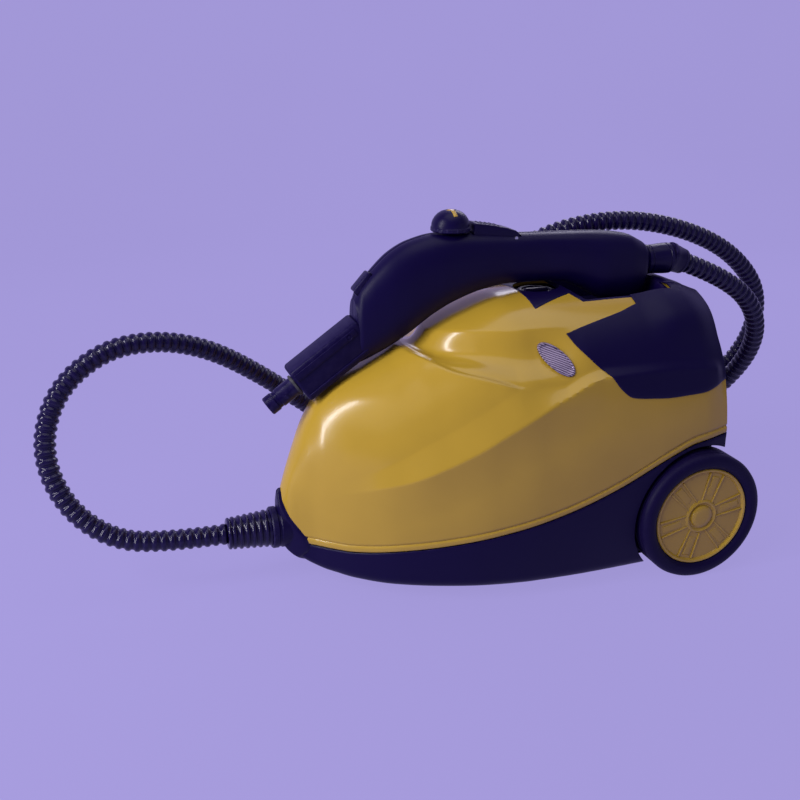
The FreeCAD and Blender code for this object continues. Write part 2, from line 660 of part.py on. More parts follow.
cap_floor, cap_top, cap_radius = size("cap_floor"), size("cap_top"), size("cap_radius")
cap_grips = []
for k in range(8):
    grip_turn = Rotation(Vector(0, 0, 1), 45 * k)
    spot = grip_turn.multVec(Vector(1, 0, 0))
    cap_grips.append(cylinder(f"cap_grip_{k}", 3, 14,
                              (cap_x + spot.x * (number(cap_radius) + 1.2),
                               spot.y * (number(cap_radius) + 1.2), cap_floor + 7)))
cap_blank = turned("cap_blank", [
    (0, 2), (cap_radius, 2), (cap_radius, cap_top - cap_floor - 3),
    (cap_radius - 3, cap_top - cap_floor), (0, cap_top - cap_floor)], (cap_x, 0, cap_floor))
cap_plug = cylinder("cap_plug", 8.8, 18, (cap_x, 0, cap_floor - 14))
node(fuse("safety_cap_body", cut("cap_gripped", cap_blank, *cap_grips), cap_plug), "safety_cap")
node(tube("cap_gasket_body", 13, 9.0, 1.6, (cap_x, 0, cap_floor + 0.2)), "cap_gasket")

# ---------------------------------------------------------------- gun

PITCH = SIZES["barrel_pitch"]
BARREL_FRONT = Vector(-186, 0, 186)
BARREL_TURN = Rotation(Vector(0, 1, 0), 90 - PITCH)
barrel_dir = BARREL_TURN.multVec(Vector(0, 0, 1))
barrel_height, barrel_width = size("barrel_height"), size("barrel_width")
barrel_length = size("barrel_length")
BEVEL = 5.0


def barrel_block(name, grow, length):
    """The square barrel with its four long edges bevelled, along the barrel's axis."""
    half_h, half_w = barrel_height * 0.5 + grow, barrel_width * 0.5 + grow
    return padded(name, [
        (-half_h + BEVEL, -half_w), (half_h - BEVEL, -half_w), (half_h, -half_w + BEVEL),
        (half_h, half_w - BEVEL), (half_h - BEVEL, half_w), (-half_h + BEVEL, half_w),
        (-half_h, half_w - BEVEL), (-half_h, -half_w + BEVEL)], length, tuple(BARREL_FRONT), BARREL_TURN)


barrel_bore = cylinder("barrel_bore", size("nozzle_radius") - 2, 120, tuple(BARREL_FRONT - barrel_dir * 5),
                       BARREL_TURN)
barrel_mouth = cylinder("barrel_mouth", size("nozzle_radius") - 0.7, 20,
                        tuple(BARREL_FRONT - barrel_dir * 5), BARREL_TURN)
node(cut("gun_barrel_body", barrel_block("barrel_block", 0, barrel_length), barrel_bore, barrel_mouth),
     "gun_barrel")

nozzle_end = BARREL_FRONT - barrel_dir * SIZES["nozzle_length"]
nozzle_spout = tube("nozzle_spout", size("nozzle_radius"), size("nozzle_bore"), size("nozzle_length") - 3.2,
                    tuple(nozzle_end), BARREL_TURN)
nozzle_root = tube("nozzle_root", size("nozzle_radius") - 0.7, size("nozzle_bore"), 18.5,
                   tuple(BARREL_FRONT - barrel_dir * 3.5), BARREL_TURN)
node(fuse("nozzle_tip_body", nozzle_spout, nozzle_root), "nozzle_tip")
node(tube("nozzle_seal_body", size("nozzle_radius") + 1.5, size("nozzle_radius") - 0.7, 2.2,
          tuple(BARREL_FRONT - barrel_dir * 3), BARREL_TURN), "nozzle_seal")

barrel_room = barrel_block("barrel_room", 0.1, barrel_length + 0.2)

# The release button lies on the sloping front of the head and slides into it.
BUTTON = {"x": -126.0, "z": 271.5, "slope": 48.0, "long": 21.0, "wide": 13.0, "proud": 3.5, "deep": 6.0}
button_turn = Rotation(Vector(0, 1, 0), -BUTTON["slope"])
button_in = button_turn.multVec(Vector(0, 0, -1))
button_foot = Vector(BUTTON["x"], 0, BUTTON["z"]) + button_in * BUTTON["deep"]
release_button = box("release_button_body", BUTTON["long"], BUTTON["wide"], BUTTON["deep"] + BUTTON["proud"],
                     tuple(button_foot), button_turn)
button_room = box("button_room", BUTTON["long"] + 1, BUTTON["wide"] + 1, 34,
                  tuple(Vector(BUTTON["x"], 0, BUTTON["z"]) + button_in * 12), button_turn)
node(release_button, "release_button")
spring_foot = button_foot + button_in * 8
node(tube("button_spring_body", 3, 2, 7.8, tuple(spring_foot), button_turn), "button_spring")

dial_x, dial_floor = size("dial_x"), size("dial_floor")
dial_radius, dial_height = size("dial_radius"), size("dial_height")
DIAL_STEM = 4.0
node(turned("dial_dome", [
    (0, -16), (DIAL_STEM, -16), (DIAL_STEM, 0), (dial_radius, 0), (dial_radius - 0.6, 4),
    (dial_radius - 3, 9), (dial_radius - 7, 13.5), (dial_radius - 12, 17), (4.1, dial_height - 0.6),
    (4.1, dial_height - 4), (0, dial_height - 4)], (dial_x, 0, dial_floor)), "steam_dial")
node(cylinder("dial_pointer_body", 4, 4, (dial_x, 0, dial_floor + dial_height - 4)), "dial_pointer")
dial_hole = cylinder("dial_hole", DIAL_STEM + gap, 24, (dial_x, 0, dial_floor - 18))
dial_seat = cylinder("dial_seat", dial_radius + 0.8, 30, (dial_x, 0, dial_floor - 0.4))

# The thumb lever is a wedge behind the dial: high at the dial, hinged low at its rear end.
LEVER = {"front": -26.0, "rear": 14.0, "pin_z": 303.5, "half": 9.0}
lever_outline = [(LEVER["front"], 300), (LEVER["front"], 318), (-6, 315), (LEVER["rear"], 309.5),
                 (LEVER["rear"] + 3.5, 306), (LEVER["rear"] + 3.5, 300.5), (LEVER["rear"] - 4, 300),
                 (-4, 303)]
lever_blank = padded("lever_blank", lever_outline, 2 * LEVER["half"], (0, LEVER["half"], 0),
                     Rotation(Vector(1, 0, 0), 90))
lever_bore = cylinder("lever_bore", 1.5 + gap, 40, (LEVER["rear"] - 1, -20, LEVER["pin_z"]), ALONG_Y)
node(cut("steam_lever_body", lever_blank, lever_bore), "steam_lever")
node(cylinder("lever_pin_body", 1.5, 24, (LEVER["rear"] - 1, -12, LEVER["pin_z"]), ALONG_Y), "lever_pin")
lever_room = box("lever_room", LEVER["rear"] - LEVER["front"] + 6.5, 2 * LEVER["half"] + 1, 40,
                 ((LEVER["rear"] + LEVER["front"]) / 2 + 1.8, 0, 290))
pin_room = cylinder("pin_room", 1.5, 24, (LEVER["rear"] - 1, -12, LEVER["pin_z"]), ALONG_Y)
node(tube("lever_spring_body", 3.4, 2.4, 13.9, (-14, 0, 286), UP), "lever_spring")

collar_room = cylinder("collar_room", 12.1, 30, (132, 0, 273), ALONG_X)
gun_rooms = fuse("gun_rooms", barrel_room, button_room, dial_hole, dial_seat, lever_room, pin_room,
                 collar_room)
for gun_side, side_name in ((1, "far"), (-1, "near")):
    half_skin = cut(f"gun_skin_{side_name}", feature(f"gun_outer_{side_name}", gun_half(0, gun_side)),
                    feature(f"gun_inner_{side_name}", gun_half(SIZES["gun_wall"], gun_side)))
    node(cut(f"gun_shell_{side_name}_body", half_skin, gun_rooms), f"gun_shell_{side_name}")

VALVE_Z = 268.0
node(fuse("gun_valve_body", box("gun_valve_block", 34, 20, 18, (-16, 0, VALVE_Z)),
          cylinder("gun_valve_stem", 2.2, 9, (-14, 0, VALVE_Z + 17.5))), "gun_valve")
valve_mid = VALVE_Z + 9
node(feature("gun_feed_tube_body", swept_rod(rounded_route([
    (130, 0, 273), (96, 0, 275), (52, 0, 280), (20, 0, valve_mid + 1), (1, 0, valve_mid)]), PIPE_RADIUS)),
    "gun_feed_tube")
bore_start = BARREL_FRONT + barrel_dir * 12
bore_far = BARREL_FRONT + barrel_dir * SIZES["barrel_length"]
node(feature("gun_steam_tube_body", swept_rod(rounded_route([
    tuple(bore_start), tuple(bore_far), (-94, 0, 249), (-60, 0, valve_mid - 4), (-33, 0, valve_mid)]),
    PIPE_RADIUS)), "gun_steam_tube")

# ---------------------------------------------------------------- hose

hose_radius = SIZES["hose_radius"]
CUFF_END = SIZES["socket_face"] - SIZES["cuff_length"]
HOSE_ROUTE = [
    (CUFF_END, 0, 51), (-306, 1, 51), (-352, 9, 56), (-389, 23, 87), (-404, 38, 136), (-386, 54, 184),
    (-343, 69, 212), (-294, 82, 213), (-247, 95, 196), (-200, 109, 163), (-150, 124, 120), (-96, 142, 75),
    (-34, 156, 34), (34, 167, 12), (108, 172, 11), (182, 168, 15), (256, 154, 36), (326, 133, 76),
    (366, 108, 138), (358, 87, 204), (306, 75, 256), (234, 70, 288), (156, 70, 301), (82, 84, 286),
    (26, 108, 236), (4, 132, 168), (18, 143, 96), (72, 148, 36), (142, 149, 11), (212, 138, 17),
    (266, 110, 50), (302, 72, 100), (314, 34, 156), (294, 8, 208), (248, 0, 248), (194, 0, 268),
]
radii = []
hose_route = rounded_route(HOSE_ROUTE, radii)
hose_solid = swept_rod(hose_route, hose_radius)
node(feature("steam_hose_body", hose_solid), "steam_hose")
print("hose length", round(hose_route.Length, 1), "smallest arc radius", round(min(radii), 1))
print("hose arc radii", [round(radius) for radius in radii])
print("hose volume over section x length",
      round(hose_solid.Volume / (math.pi * hose_radius ** 2 * hose_route.Length), 4))

# The cuff screws into the nose socket; grip rings stand on its taper.
cuff_corners = [(SIZES["hose_bore"], 0), (14.5, 0)]
RINGS = 6
for ring in range(RINGS):
    start = 2 + ring * 6.0
    root = 13.0 + 3.0 * start / SIZES["cuff_length"]
    crown = root + 1.6
    cuff_corners += [(root, start), (crown, start + 0.4), (crown, start + 3.2), (root, start + 3.6)]
cuff_corners += [(17, SIZES["cuff_length"]), (SIZES["hose_bore"], SIZES["cuff_length"])]
node(turned("hose_cuff_body", cuff_corners, (CUFF_END, 0, socket_z), ALONG_X), "hose_cuff")

# The gun's hose collar: a stepped neck, then a bend relief that leans down to meet the hose's end.
last_run = (Vector(*HOSE_ROUTE[-1]) - Vector(*HOSE_ROUTE[-2])).normalize()
relief_foot = Vector(*HOSE_ROUTE[-1]) + last_run * 18
relief_turn = Rotation(Vector(0, 0, 1), -last_run)
relief_tip = relief_foot - last_run * 12
node(fuse("hose_collar_body", cylinder("collar_neck", 12, 22, (130.2, 0, 273), ALONG_X),
          cylinder("collar_step", 13.4, 4, (150.4, 0, 273), ALONG_X),
          cone("collar_flare", 13, 14.5, 22, (154, 0, 273), ALONG_X),
          cone("relief", 13.5, 11, 17.7, tuple(relief_foot), relief_turn),
          cylinder("relief_ring", 13.2, 3, tuple(relief_tip), relief_turn)), "hose_collar")

# ---------------------------------------------------------------- checks and export

doc.recompute()
for obj in doc.Objects:
    if "Invalid" in obj.State or "Error" in obj.State:
        raise RuntimeError(f"{obj.Name} failed: {obj.State}")
os.makedirs("parts", exist_ok=True)
if len(nodes) > 60:
    raise RuntimeError(f"{len(nodes)} nodes")
for obj in nodes:
    shape = obj.Shape
    if shape.isNull() or not shape.isValid() or not shape.Solids:
        raise RuntimeError(f"{obj.Label} has no valid shape")
    lone = Part.makeCompound(shape.Solids) if len(shape.Solids) > 1 else shape.Solids[0]
    lone.exportStep(f"parts/{obj.Label}.step")
    bounds = lone.BoundBox
    print(f"{obj.Label:18s} solids {len(shape.Solids)} volume {lone.Volume / 1000:9.2f} cm3  "
          f"x {bounds.XMin:7.1f} {bounds.XMax:7.1f}  y {bounds.YMin:7.1f} {bounds.YMax:7.1f}  "
          f"z {bounds.ZMin:7.1f} {bounds.ZMax:7.1f}")
print(len(nodes), "nodes")
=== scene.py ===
"""Canister steam cleaner: casing, gun, wheels and ribbed hose.

The nose points along -X, Z is up and the floor is z = 0. Sizes are in millimetres unless a comment
says otherwise."""

import json
import math

import bmesh
import bpy
import numpy as np
from mathutils import Matrix, Vector


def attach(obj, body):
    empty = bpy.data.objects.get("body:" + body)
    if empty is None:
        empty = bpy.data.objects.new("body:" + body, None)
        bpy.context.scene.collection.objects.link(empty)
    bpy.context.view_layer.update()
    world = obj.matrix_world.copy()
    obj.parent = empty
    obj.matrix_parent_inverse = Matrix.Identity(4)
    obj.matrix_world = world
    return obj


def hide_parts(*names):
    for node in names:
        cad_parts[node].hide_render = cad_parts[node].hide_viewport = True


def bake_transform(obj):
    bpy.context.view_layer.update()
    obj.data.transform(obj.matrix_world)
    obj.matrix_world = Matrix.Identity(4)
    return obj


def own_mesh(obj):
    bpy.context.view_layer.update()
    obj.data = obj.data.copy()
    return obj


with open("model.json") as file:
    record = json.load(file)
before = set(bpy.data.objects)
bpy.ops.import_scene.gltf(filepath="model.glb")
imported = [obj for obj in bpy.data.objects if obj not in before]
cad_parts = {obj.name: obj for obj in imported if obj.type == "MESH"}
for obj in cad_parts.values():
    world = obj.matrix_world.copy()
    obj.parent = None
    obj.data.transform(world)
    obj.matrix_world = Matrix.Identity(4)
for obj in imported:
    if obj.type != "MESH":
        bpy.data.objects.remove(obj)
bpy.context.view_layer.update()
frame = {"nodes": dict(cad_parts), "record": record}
MM = 0.001
X_AXIS, Y_AXIS, Z_AXIS = Vector((1, 0, 0)), Vector((0, 1, 0)), Vector((0, 0, 1))


# ---------------------------------------------------------------- materials

def new_material(name):
    material = bpy.data.materials.new(name)
    material.use_nodes = True
    tree = material.node_tree
    shader = tree.nodes["Principled BSDF"]
    coords = tree.nodes.new("ShaderNodeTexCoord").outputs["Object"]
    return material, tree, shader, coords


def noise(tree, coords, scale, detail=3.0, rough=0.5):
    node = tree.nodes.new("ShaderNodeTexNoise")
    node.inputs["Scale"].default_value = scale
    node.inputs["Detail"].default_value = detail
    node.inputs["Roughness"].default_value = rough
    tree.links.new(coords, node.inputs["Vector"])
    return node.outputs["Fac"]


def ranged(tree, value, low, high, out_low, out_high):
    node = tree.nodes.new("ShaderNodeMapRange")
    for socket, amount in zip(node.inputs[1:5], (low, high, out_low, out_high)):
        socket.default_value = amount
    tree.links.new(value, node.inputs[0])
    return node.outputs[0]


def mixed(tree, amount, first, second):
    node = tree.nodes.new("ShaderNodeMix")
    node.data_type = "RGBA"
    colours = [s for s in node.inputs if s.type == "RGBA"]
    for socket, colour in zip(colours, (first, second)):
        if isinstance(colour, tuple):
            socket.default_value = (*colour, 1.0)
        else:
            tree.links.new(colour, socket)
    tree.links.new(amount, node.inputs["Factor"])
    return next(s for s in node.outputs if s.type == "RGBA")


def bumped(tree, shader, height, strength, distance, before=None):
    node = tree.nodes.new("ShaderNodeBump")
    node.inputs["Strength"].default_value = strength
    node.inputs["Distance"].default_value = distance
    tree.links.new(height, node.inputs["Height"])
    if before is not None:
        tree.links.new(before, node.inputs["Normal"])
    tree.links.new(node.outputs["Normal"], shader.inputs["Normal"])
    return node.outputs["Normal"]


def moulded(name, colour, worn, rough=(0.3, 0.4), grain=0.15, metallic=0.0, coat=0.0, gloss=0.5):
    """Moulded or cast material: mottled colour, pale worn edges, patchy gloss and a fine skin grain."""
    material, tree, shader, coords = new_material(name)
    mottle = noise(tree, coords, 35, 4)
    deep = tuple(c * 0.965 for c in colour)
    base = mixed(tree, ranged(tree, mottle, 0.35, 0.65, 0, 1), deep, colour)
    edge = tree.nodes.new("ShaderNodeNewGeometry").outputs["Pointiness"]
    scuffs = ranged(tree, noise(tree, coords, 160, 5, 0.7), 0.42, 0.62, 0.0, 1.0)
    rim = ranged(tree, edge, 0.53, 0.62, 0.0, 0.5)
    wear = tree.nodes.new("ShaderNodeMath")
    wear.operation = "MULTIPLY"
    tree.links.new(rim, wear.inputs[0])
    tree.links.new(scuffs, wear.inputs[1])
    tree.links.new(mixed(tree, wear.outputs[0], base, worn), shader.inputs["Base Color"])
    smear = noise(tree, coords, 12, 5, 0.65)
    tree.links.new(ranged(tree, smear, 0.3, 0.7, *rough), shader.inputs["Roughness"])
    skin = noise(tree, coords, 1400, 2)
    first = bumped(tree, shader, skin, grain, 0.0002)
    bumped(tree, shader, noise(tree, coords, 18, 2), 0.05, 0.0015, first)
    shader.inputs["Metallic"].default_value = metallic
    shader.inputs["Specular IOR Level"].default_value = gloss
    shader.inputs["Coat Weight"].default_value = coat
    shader.inputs["Coat Roughness"].default_value = 0.08
    return material


def brushed(name, colour, rough=(0.25, 0.4), stretch=(4, 60, 400)):
    """Machined or drawn metal with fine lines."""
    material, tree, shader, coords = new_material(name)
    mapping = tree.nodes.new("ShaderNodeMapping")
    mapping.inputs["Scale"].default_value = stretch
    tree.links.new(coords, mapping.inputs["Vector"])
    lines = noise(tree, mapping.outputs["Vector"], 14, 4, 0.6)
    tree.links.new(ranged(tree, lines, 0.3, 0.7, *rough), shader.inputs["Roughness"])
    tint = noise(tree, coords, 40, 4)
    dull = tuple(c * 0.72 for c in colour)
    tree.links.new(mixed(tree, ranged(tree, tint, 0.35, 0.7, 0, 1), colour, dull),
                   shader.inputs["Base Color"])
    bumped(tree, shader, lines, 0.12, 0.0002)
    shader.inputs["Metallic"].default_value = 1.0
    return material


def hatched(name):
    """Bright badge plate with a fine diagonal hatch."""
    material, tree, shader, coords = new_material(name)
    wave = tree.nodes.new("ShaderNodeTexWave")
    wave.bands_direction = "DIAGONAL"
    wave.inputs["Scale"].default_value = 190
    wave.inputs["Distortion"].default_value = 0.4
    tree.links.new(coords, wave.inputs["Vector"])
    lines = wave.outputs["Fac"]
    tree.links.new(mixed(tree, lines, (0.10, 0.07, 0.13), (0.46, 0.38, 0.52)),
                   shader.inputs["Base Color"])
    tree.links.new(ranged(tree, lines, 0, 1, 0.2, 0.45), shader.inputs["Roughness"])
    bumped(tree, shader, lines, 0.5, 0.0004)
    shader.inputs["Metallic"].default_value = 0.75
    return material


INDIGO_BLACK = (0.0035, 0.0012, 0.030)
WORN_INDIGO = (0.05, 0.04, 0.12)

MATERIALS = {
    "yellow_casing": moulded("yellow_gloss", (0.405, 0.258, 0.026), (0.62, 0.45, 0.12), (0.17, 0.23), 0.05,
                             coat=0.15, gloss=0.4),
    "black_casing": moulded("indigo_black_satin", INDIGO_BLACK, (0.04, 0.03, 0.10), (0.34, 0.46), 0.2,
                            gloss=0.16),
    "black_plastic": moulded("indigo_black_fittings", INDIGO_BLACK, WORN_INDIGO, (0.28, 0.42), 0.14,
                             gloss=0.2),
    "hose_plastic": moulded("hose_black_gloss", INDIGO_BLACK, WORN_INDIGO, (0.18, 0.28), 0.08,
                            coat=0.1, gloss=0.3),
    "tyre": moulded("tyre_black", (0.0035, 0.0012, 0.026), (0.03, 0.025, 0.08), (0.42, 0.6), 0.35,
                    gloss=0.16),
    "seal_rubber": moulded("seal_rubber", (0.03, 0.03, 0.035), (0.1, 0.1, 0.1), (0.55, 0.75), 0.4),
    "boiler_metal": moulded("cast_aluminium", (0.70, 0.71, 0.73), (0.9, 0.9, 0.92), (0.35, 0.55), 0.5,
                            metallic=1.0),
    "steel": brushed("plated_steel", (0.62, 0.62, 0.65)),
    "brass": brushed("turned_brass", (0.74, 0.53, 0.22), (0.22, 0.4)),
    "switchgear": moulded("phenolic", (0.62, 0.57, 0.46), (0.8, 0.78, 0.7), (0.5, 0.65), 0.3),
    "lamp_lens": moulded("lamp_lens", (0.62, 0.05, 0.02), (0.8, 0.3, 0.25), (0.08, 0.16), 0.04, coat=0.6),
    "rocker_red": moulded("rocker_red", (0.50, 0.015, 0.01), (0.7, 0.2, 0.18), (0.18, 0.28), 0.05,
                          coat=0.4),
    "badge_metal": hatched("badge_hatch"),
    "feed_tube": moulded("feed_tube", (0.78, 0.76, 0.70), (0.9, 0.9, 0.85), (0.3, 0.45), 0.1),
}


# ---------------------------------------------------------------- mesh helpers

def finish_piece(obj, body, slot, replaced=(), material=None):
    obj.data.materials.clear()
    obj.data.materials.append(material or MATERIALS[slot])
    if body:
        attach(obj, body)
    if replaced:
        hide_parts(*replaced)
    return obj


def mesh_object(name, points, faces, angle=35):
    """A mesh from points in millimetres; edges sharper than `angle` degrees stay crisp."""
    mesh = bpy.data.meshes.new(name)
    mesh.from_pydata([tuple(float(c) * MM for c in p) for p in points], [], faces)
    mesh.validate()
    work = bmesh.new()
    work.from_mesh(mesh)
    bmesh.ops.remove_doubles(work, verts=work.verts, dist=1e-7)
    bmesh.ops.recalc_face_normals(work, faces=work.faces)
    work.to_mesh(mesh)
    work.free()
    obj = bpy.data.objects.new(name, mesh)
    bpy.context.collection.objects.link(obj)
    smooth(obj, angle)
    return obj


def smooth(obj, angle=35):
    obj.data.shade_smooth()
    obj.data.set_sharp_from_angle(angle=math.radians(angle))


def bake(obj, angle=35):
    """Apply the object's modifiers."""
    bpy.context.view_layer.update()
    graph = bpy.context.evaluated_depsgraph_get()
    mesh = bpy.data.meshes.new_from_object(obj.evaluated_get(graph))
    obj.modifiers.clear()
    obj.data = mesh
    smooth(obj, angle)
    return obj


def softened(obj, width, segments=3, angle=40):
    """Round the sharp edges by `width` millimetres."""
    bevel = obj.modifiers.new("edges", "BEVEL")
    bevel.width = width * MM
    bevel.segments = segments
    bevel.limit_method = "ANGLE"
    bevel.angle_limit = math.radians(angle)
    bevel.harden_normals = False
    return bake(obj, 50)


def joined(name, objects):
    """One object from several, keeping the first one's place."""
    work = bmesh.new()
    for obj in objects:
        obj.data.transform(obj.matrix_world)
        work.from_mesh(obj.data)
    mesh = bpy.data.meshes.new(name)
    work.to_mesh(mesh)
    work.free()
    for obj in objects:
        bpy.data.objects.remove(obj)
    obj = bpy.data.objects.new(name, mesh)
    bpy.context.collection.objects.link(obj)
    smooth(obj)
    return obj


def carved(obj, *cutters, operation="DIFFERENCE"):
    """Cut each closed cutter out of the closed mesh in turn, and drop the cutters."""
    for cutter in cutters:
        modifier = obj.modifiers.new("carve", "BOOLEAN")
        modifier.operation = operation
        modifier.solver = "MANIFOLD"
        modifier.object = cutter
        bake(obj)
        bpy.data.objects.remove(cutter)
    return obj


def lathe(name, profile, place, segments=64, angle=35):
    """Spin (radius, height) pairs about the local Z axis of `place`, closing onto the axis where r = 0."""
    points, rings = [], []
    for radius, height in profile:
        if radius < 1e-6:
            rings.append([len(points)])
            points.append(place @ Vector((0, 0, height)))
            continue
        ring = []
        for k in range(segments):
            a = 2 * math.pi * k / segments
            ring.append(len(points))
            points.append(place @ Vector((radius * math.cos(a), radius * math.sin(a), height)))
        rings.append(ring)
    faces = []
    for low, high in zip(rings, rings[1:]):
        for k in range(segments):
            after = (k + 1) % segments
            quad = [low[k % len(low)], low[after % len(low)],
                    high[after % len(high)], high[k % len(high)]]
            unique = list(dict.fromkeys(quad))
            if len(unique) > 2:
                faces.append(unique)
    return mesh_object(name, points, faces, angle)


def placed(at, axis, about=None):
    """A placement at `at` whose Z runs along `axis`, with X as near as may be to `about`."""
    z = Vector(axis).normalized()
    guide = Vector(about) if about else (X_AXIS if abs(z.x) < 0.9 else Y_AXIS)
    y = z.cross(guide).normalized()
    x = y.cross(z)
    return Matrix.Translation(Vector(at)) @ Matrix((x, y, z)).transposed().to_4x4()


def block(name, size, place, width=0.0, taper=1.0):
    """A bar of `size` centred on X and Y of `place`, standing on it, its top tapered."""
    length, breadth, height = size
    points = []
    for z, k in ((0, 1.0), (height, taper)):
        for sx, sy in ((-1, -1), (1, -1), (1, 1), (-1, 1)):
            points.append(place @ Vector((sx * length / 2 * k, sy * breadth / 2 * k, z)))
    faces = [[3, 2, 1, 0], [4, 5, 6, 7]] + [[i, (i + 1) % 4, 4 + (i + 1) % 4, 4 + i] for i in range(4)]
    obj = mesh_object(name, points, faces)
    return softened(obj, width) if width else obj


def curve_through(xs, ys, x):
    """A smooth curve through the given stations, without overshoot."""
    xs, ys, x = np.asarray(xs, float), np.asarray(ys, float), np.asarray(x, float)
    steps = np.diff(xs)
    slopes = np.diff(ys) / steps
    tangents = np.empty_like(ys)
    tangents[0], tangents[-1] = slopes[0], slopes[-1]
    same = slopes[:-1] * slopes[1:] > 0
    total = slopes[:-1] + slopes[1:]
    tangents[1:-1] = np.where(same, 2 * slopes[:-1] * slopes[1:] / np.where(same, total, 1), 0)
    i = np.clip(np.searchsorted(xs, x) - 1, 0, len(xs) - 2)
    t = np.clip((x - xs[i]) / steps[i], 0, 1)
    return (ys[i] * (1 + 2 * t) * (1 - t) ** 2 + tangents[i] * steps[i] * t * (1 - t) ** 2
            + ys[i + 1] * t * t * (3 - 2 * t) + tangents[i + 1] * steps[i] * t * t * (t - 1))


def ease(t):
    t = np.clip(t, 0, 1)
    return t * t * (3 - 2 * t)


# ---------------------------------------------------------------- the hull's surface

# Stations along the hull: x, crest height, half width, keel height.
HULL = np.array([
    (-205, 88, 9, 44), (-200, 104, 15, 34), (-192, 127, 21, 26), (-182, 152, 29, 20),
    (-170, 171, 41, 16), (-150, 186, 59, 13), (-120, 201, 80, 12), (-80, 221, 98, 12),
    (-40, 241, 110, 12), (0, 253, 116, 12), (50, 257, 118, 12), (110, 258, 116.5, 12),
    (160, 257, 112.5, 12), (186, 249, 107, 14)], float)
# The seam between the yellow upper casing and the black lower one, as (x, z).
SEAM = np.array([(-230, 40), (-163, 42), (-117, 50), (-51, 63), (15, 79), (71, 98), (128, 122),
                 (151, 129), (230, 136)], float)
TAIL_X = 186.0
# Lines of the side's relief, as (x, z): the crown's crease, the bonnet's fold, and the swoosh's two edges.
CREASE = np.array([(-90, 219), (-68, 227), (-48, 231.5), (-19, 234), (14, 235.5), (39, 236),
                   (110, 238)], float)
FOLD = np.array([(-100, 216), (-83, 213), (-65, 207), (-43, 203), (-17, 196)], float)
UPPER_SWOOSH = np.array([(-165, 106), (-123, 131), (-98, 147), (-74, 161), (-49, 176),
                         (-17, 194)], float)
LOWER_SWOOSH = np.array([(-165, 96), (-131, 109), (-107, 118), (-84, 129), (-59, 142), (-35, 156),
                         (-7, 171), (16, 182), (61, 196), (120, 196), (186, 190)], float)
SCOOP_DEPTH, SCOOP_DEEPEST = 9.5, 0.42
BROW_HEIGHT, SWOOSH_HEIGHT = 2.0, 5.6


def line(table, x):
    return curve_through(table[:, 0], table[:, 1], x)


def half_outline(x):
    """The hull's section at x, from the keel's middle round the side to the crest: (y, z) points."""
    crest, half, keel = (float(line(HULL[:, [0, c]], x)) for c in (1, 2, 3))
    middle = keel + 0.32 * (crest - keel)
    tuck = 0.05 * half
    chine = min(12, 0.25 * half)
    arc = np.linspace(0, math.pi / 2, 14)
    floor = [(y, keel) for y in np.linspace(0, half - tuck - chine, 30)]
    bend = [(half - tuck - chine + chine * math.sin(a), keel + chine * (1 - math.cos(a)))
            for a in arc[1:]]
    side = [(half - tuck * (1 - t) ** 1.6, keel + chine + (middle - keel - chine) * t)
            for t in np.linspace(0.04, 0.98, 24)]
    dome = []
    for a in np.linspace(0, math.pi / 2, 150):
        dome.append((half * math.cos(a) ** (2 / 2.2),
                     middle + (crest - middle) * math.sin(a) ** (2 / 2.6)))
    dome[-1] = (0.0, crest)
    return np.array(floor + bend + side + dome)


def along(outline):
    steps = np.hypot(*np.diff(outline, axis=0).T)
    return np.concatenate([[0], np.cumsum(steps)])


def relief(x, z):
    """How far the side stands out of the plain hull, in millimetres.

    Below the crown's crease the side drops into a scoop that fades out rearward. The bonnet rises out
    of the scoop along the fold. The swoosh is a ledge that grows towards its lower edge and then falls away."""
    crease, fold = line(CREASE, x), line(FOLD, x)
    upper, lower = line(UPPER_SWOOSH, x), line(LOWER_SWOOSH, x)
    scoop = ease((x + 96) / 22) * (1 - ease((x - 2) / 50))
    bonnet = ease((fold - z) / 3.0) * (1 - ease((x + 34) / 34))
    down = np.clip((crease - z) / np.maximum(crease - fold, 3), 0, 1)
    profile = np.where(down < SCOOP_DEEPEST, np.sin(down / SCOOP_DEEPEST * math.pi / 2),
                       1 - 0.85 * ease((down - SCOOP_DEEPEST) / (1 - SCOOP_DEEPEST)))
    hollow = -SCOOP_DEPTH * scoop * profile * (1 - ease((fold - z) / 22)) * (1 - bonnet)
    brow = BROW_HEIGHT * bonnet * ease((x + 110) / 25) * (1 - ease((fold - z) / 55))
    width = np.clip(upper - lower, 9, 30)
    ledge = np.clip((lower + width - z) / width, 0, 1) ** 1.3
    falling = np.clip((lower - z) / 42, 0, 1)
    band = np.where(z > lower, ledge, (1 - falling) ** 2)
    strength = SWOOSH_HEIGHT * ease((x + 168) / 80) * (1 - 0.55 * ease((x - 40) / 110))
    return hollow + brow + strength * band


def surface_normals(grid):
    du = np.gradient(grid, axis=0)
    dv = np.gradient(grid, axis=1)
    normals = np.cross(du, dv)
    lengths = np.linalg.norm(normals, axis=2, keepdims=True)
    normals = normals / np.where(lengths > 1e-9, lengths, 1)
    centre = np.array([0.0, 0.0, 110.0]) + np.array([1.0, 0, 0]) * grid[..., :1] * 0.8
    outward = np.sum(normals * (grid - centre), axis=2, keepdims=True)
    return normals * np.where(outward < 0, -1, 1)


def strip(stations, spans):
    """Points over the hull: `spans` gives each section's (side, distance from the keel's middle) pairs."""
    rows = []
    for x in stations:
        outline = half_outline(x)
        distance = along(outline)
        row = []
        for side, s in spans(x, outline, distance):
            row.append((x, side * np.interp(s, distance, outline[:, 0]),
                        np.interp(s, distance, outline[:, 1])))
        rows.append(row)
    return np.array(rows)


def side_start(outline):
    """Where in the section the floor and chine end and the side begins."""
    return int(np.argmax(outline[:, 0] > 0.93 * outline[:, 0].max()))


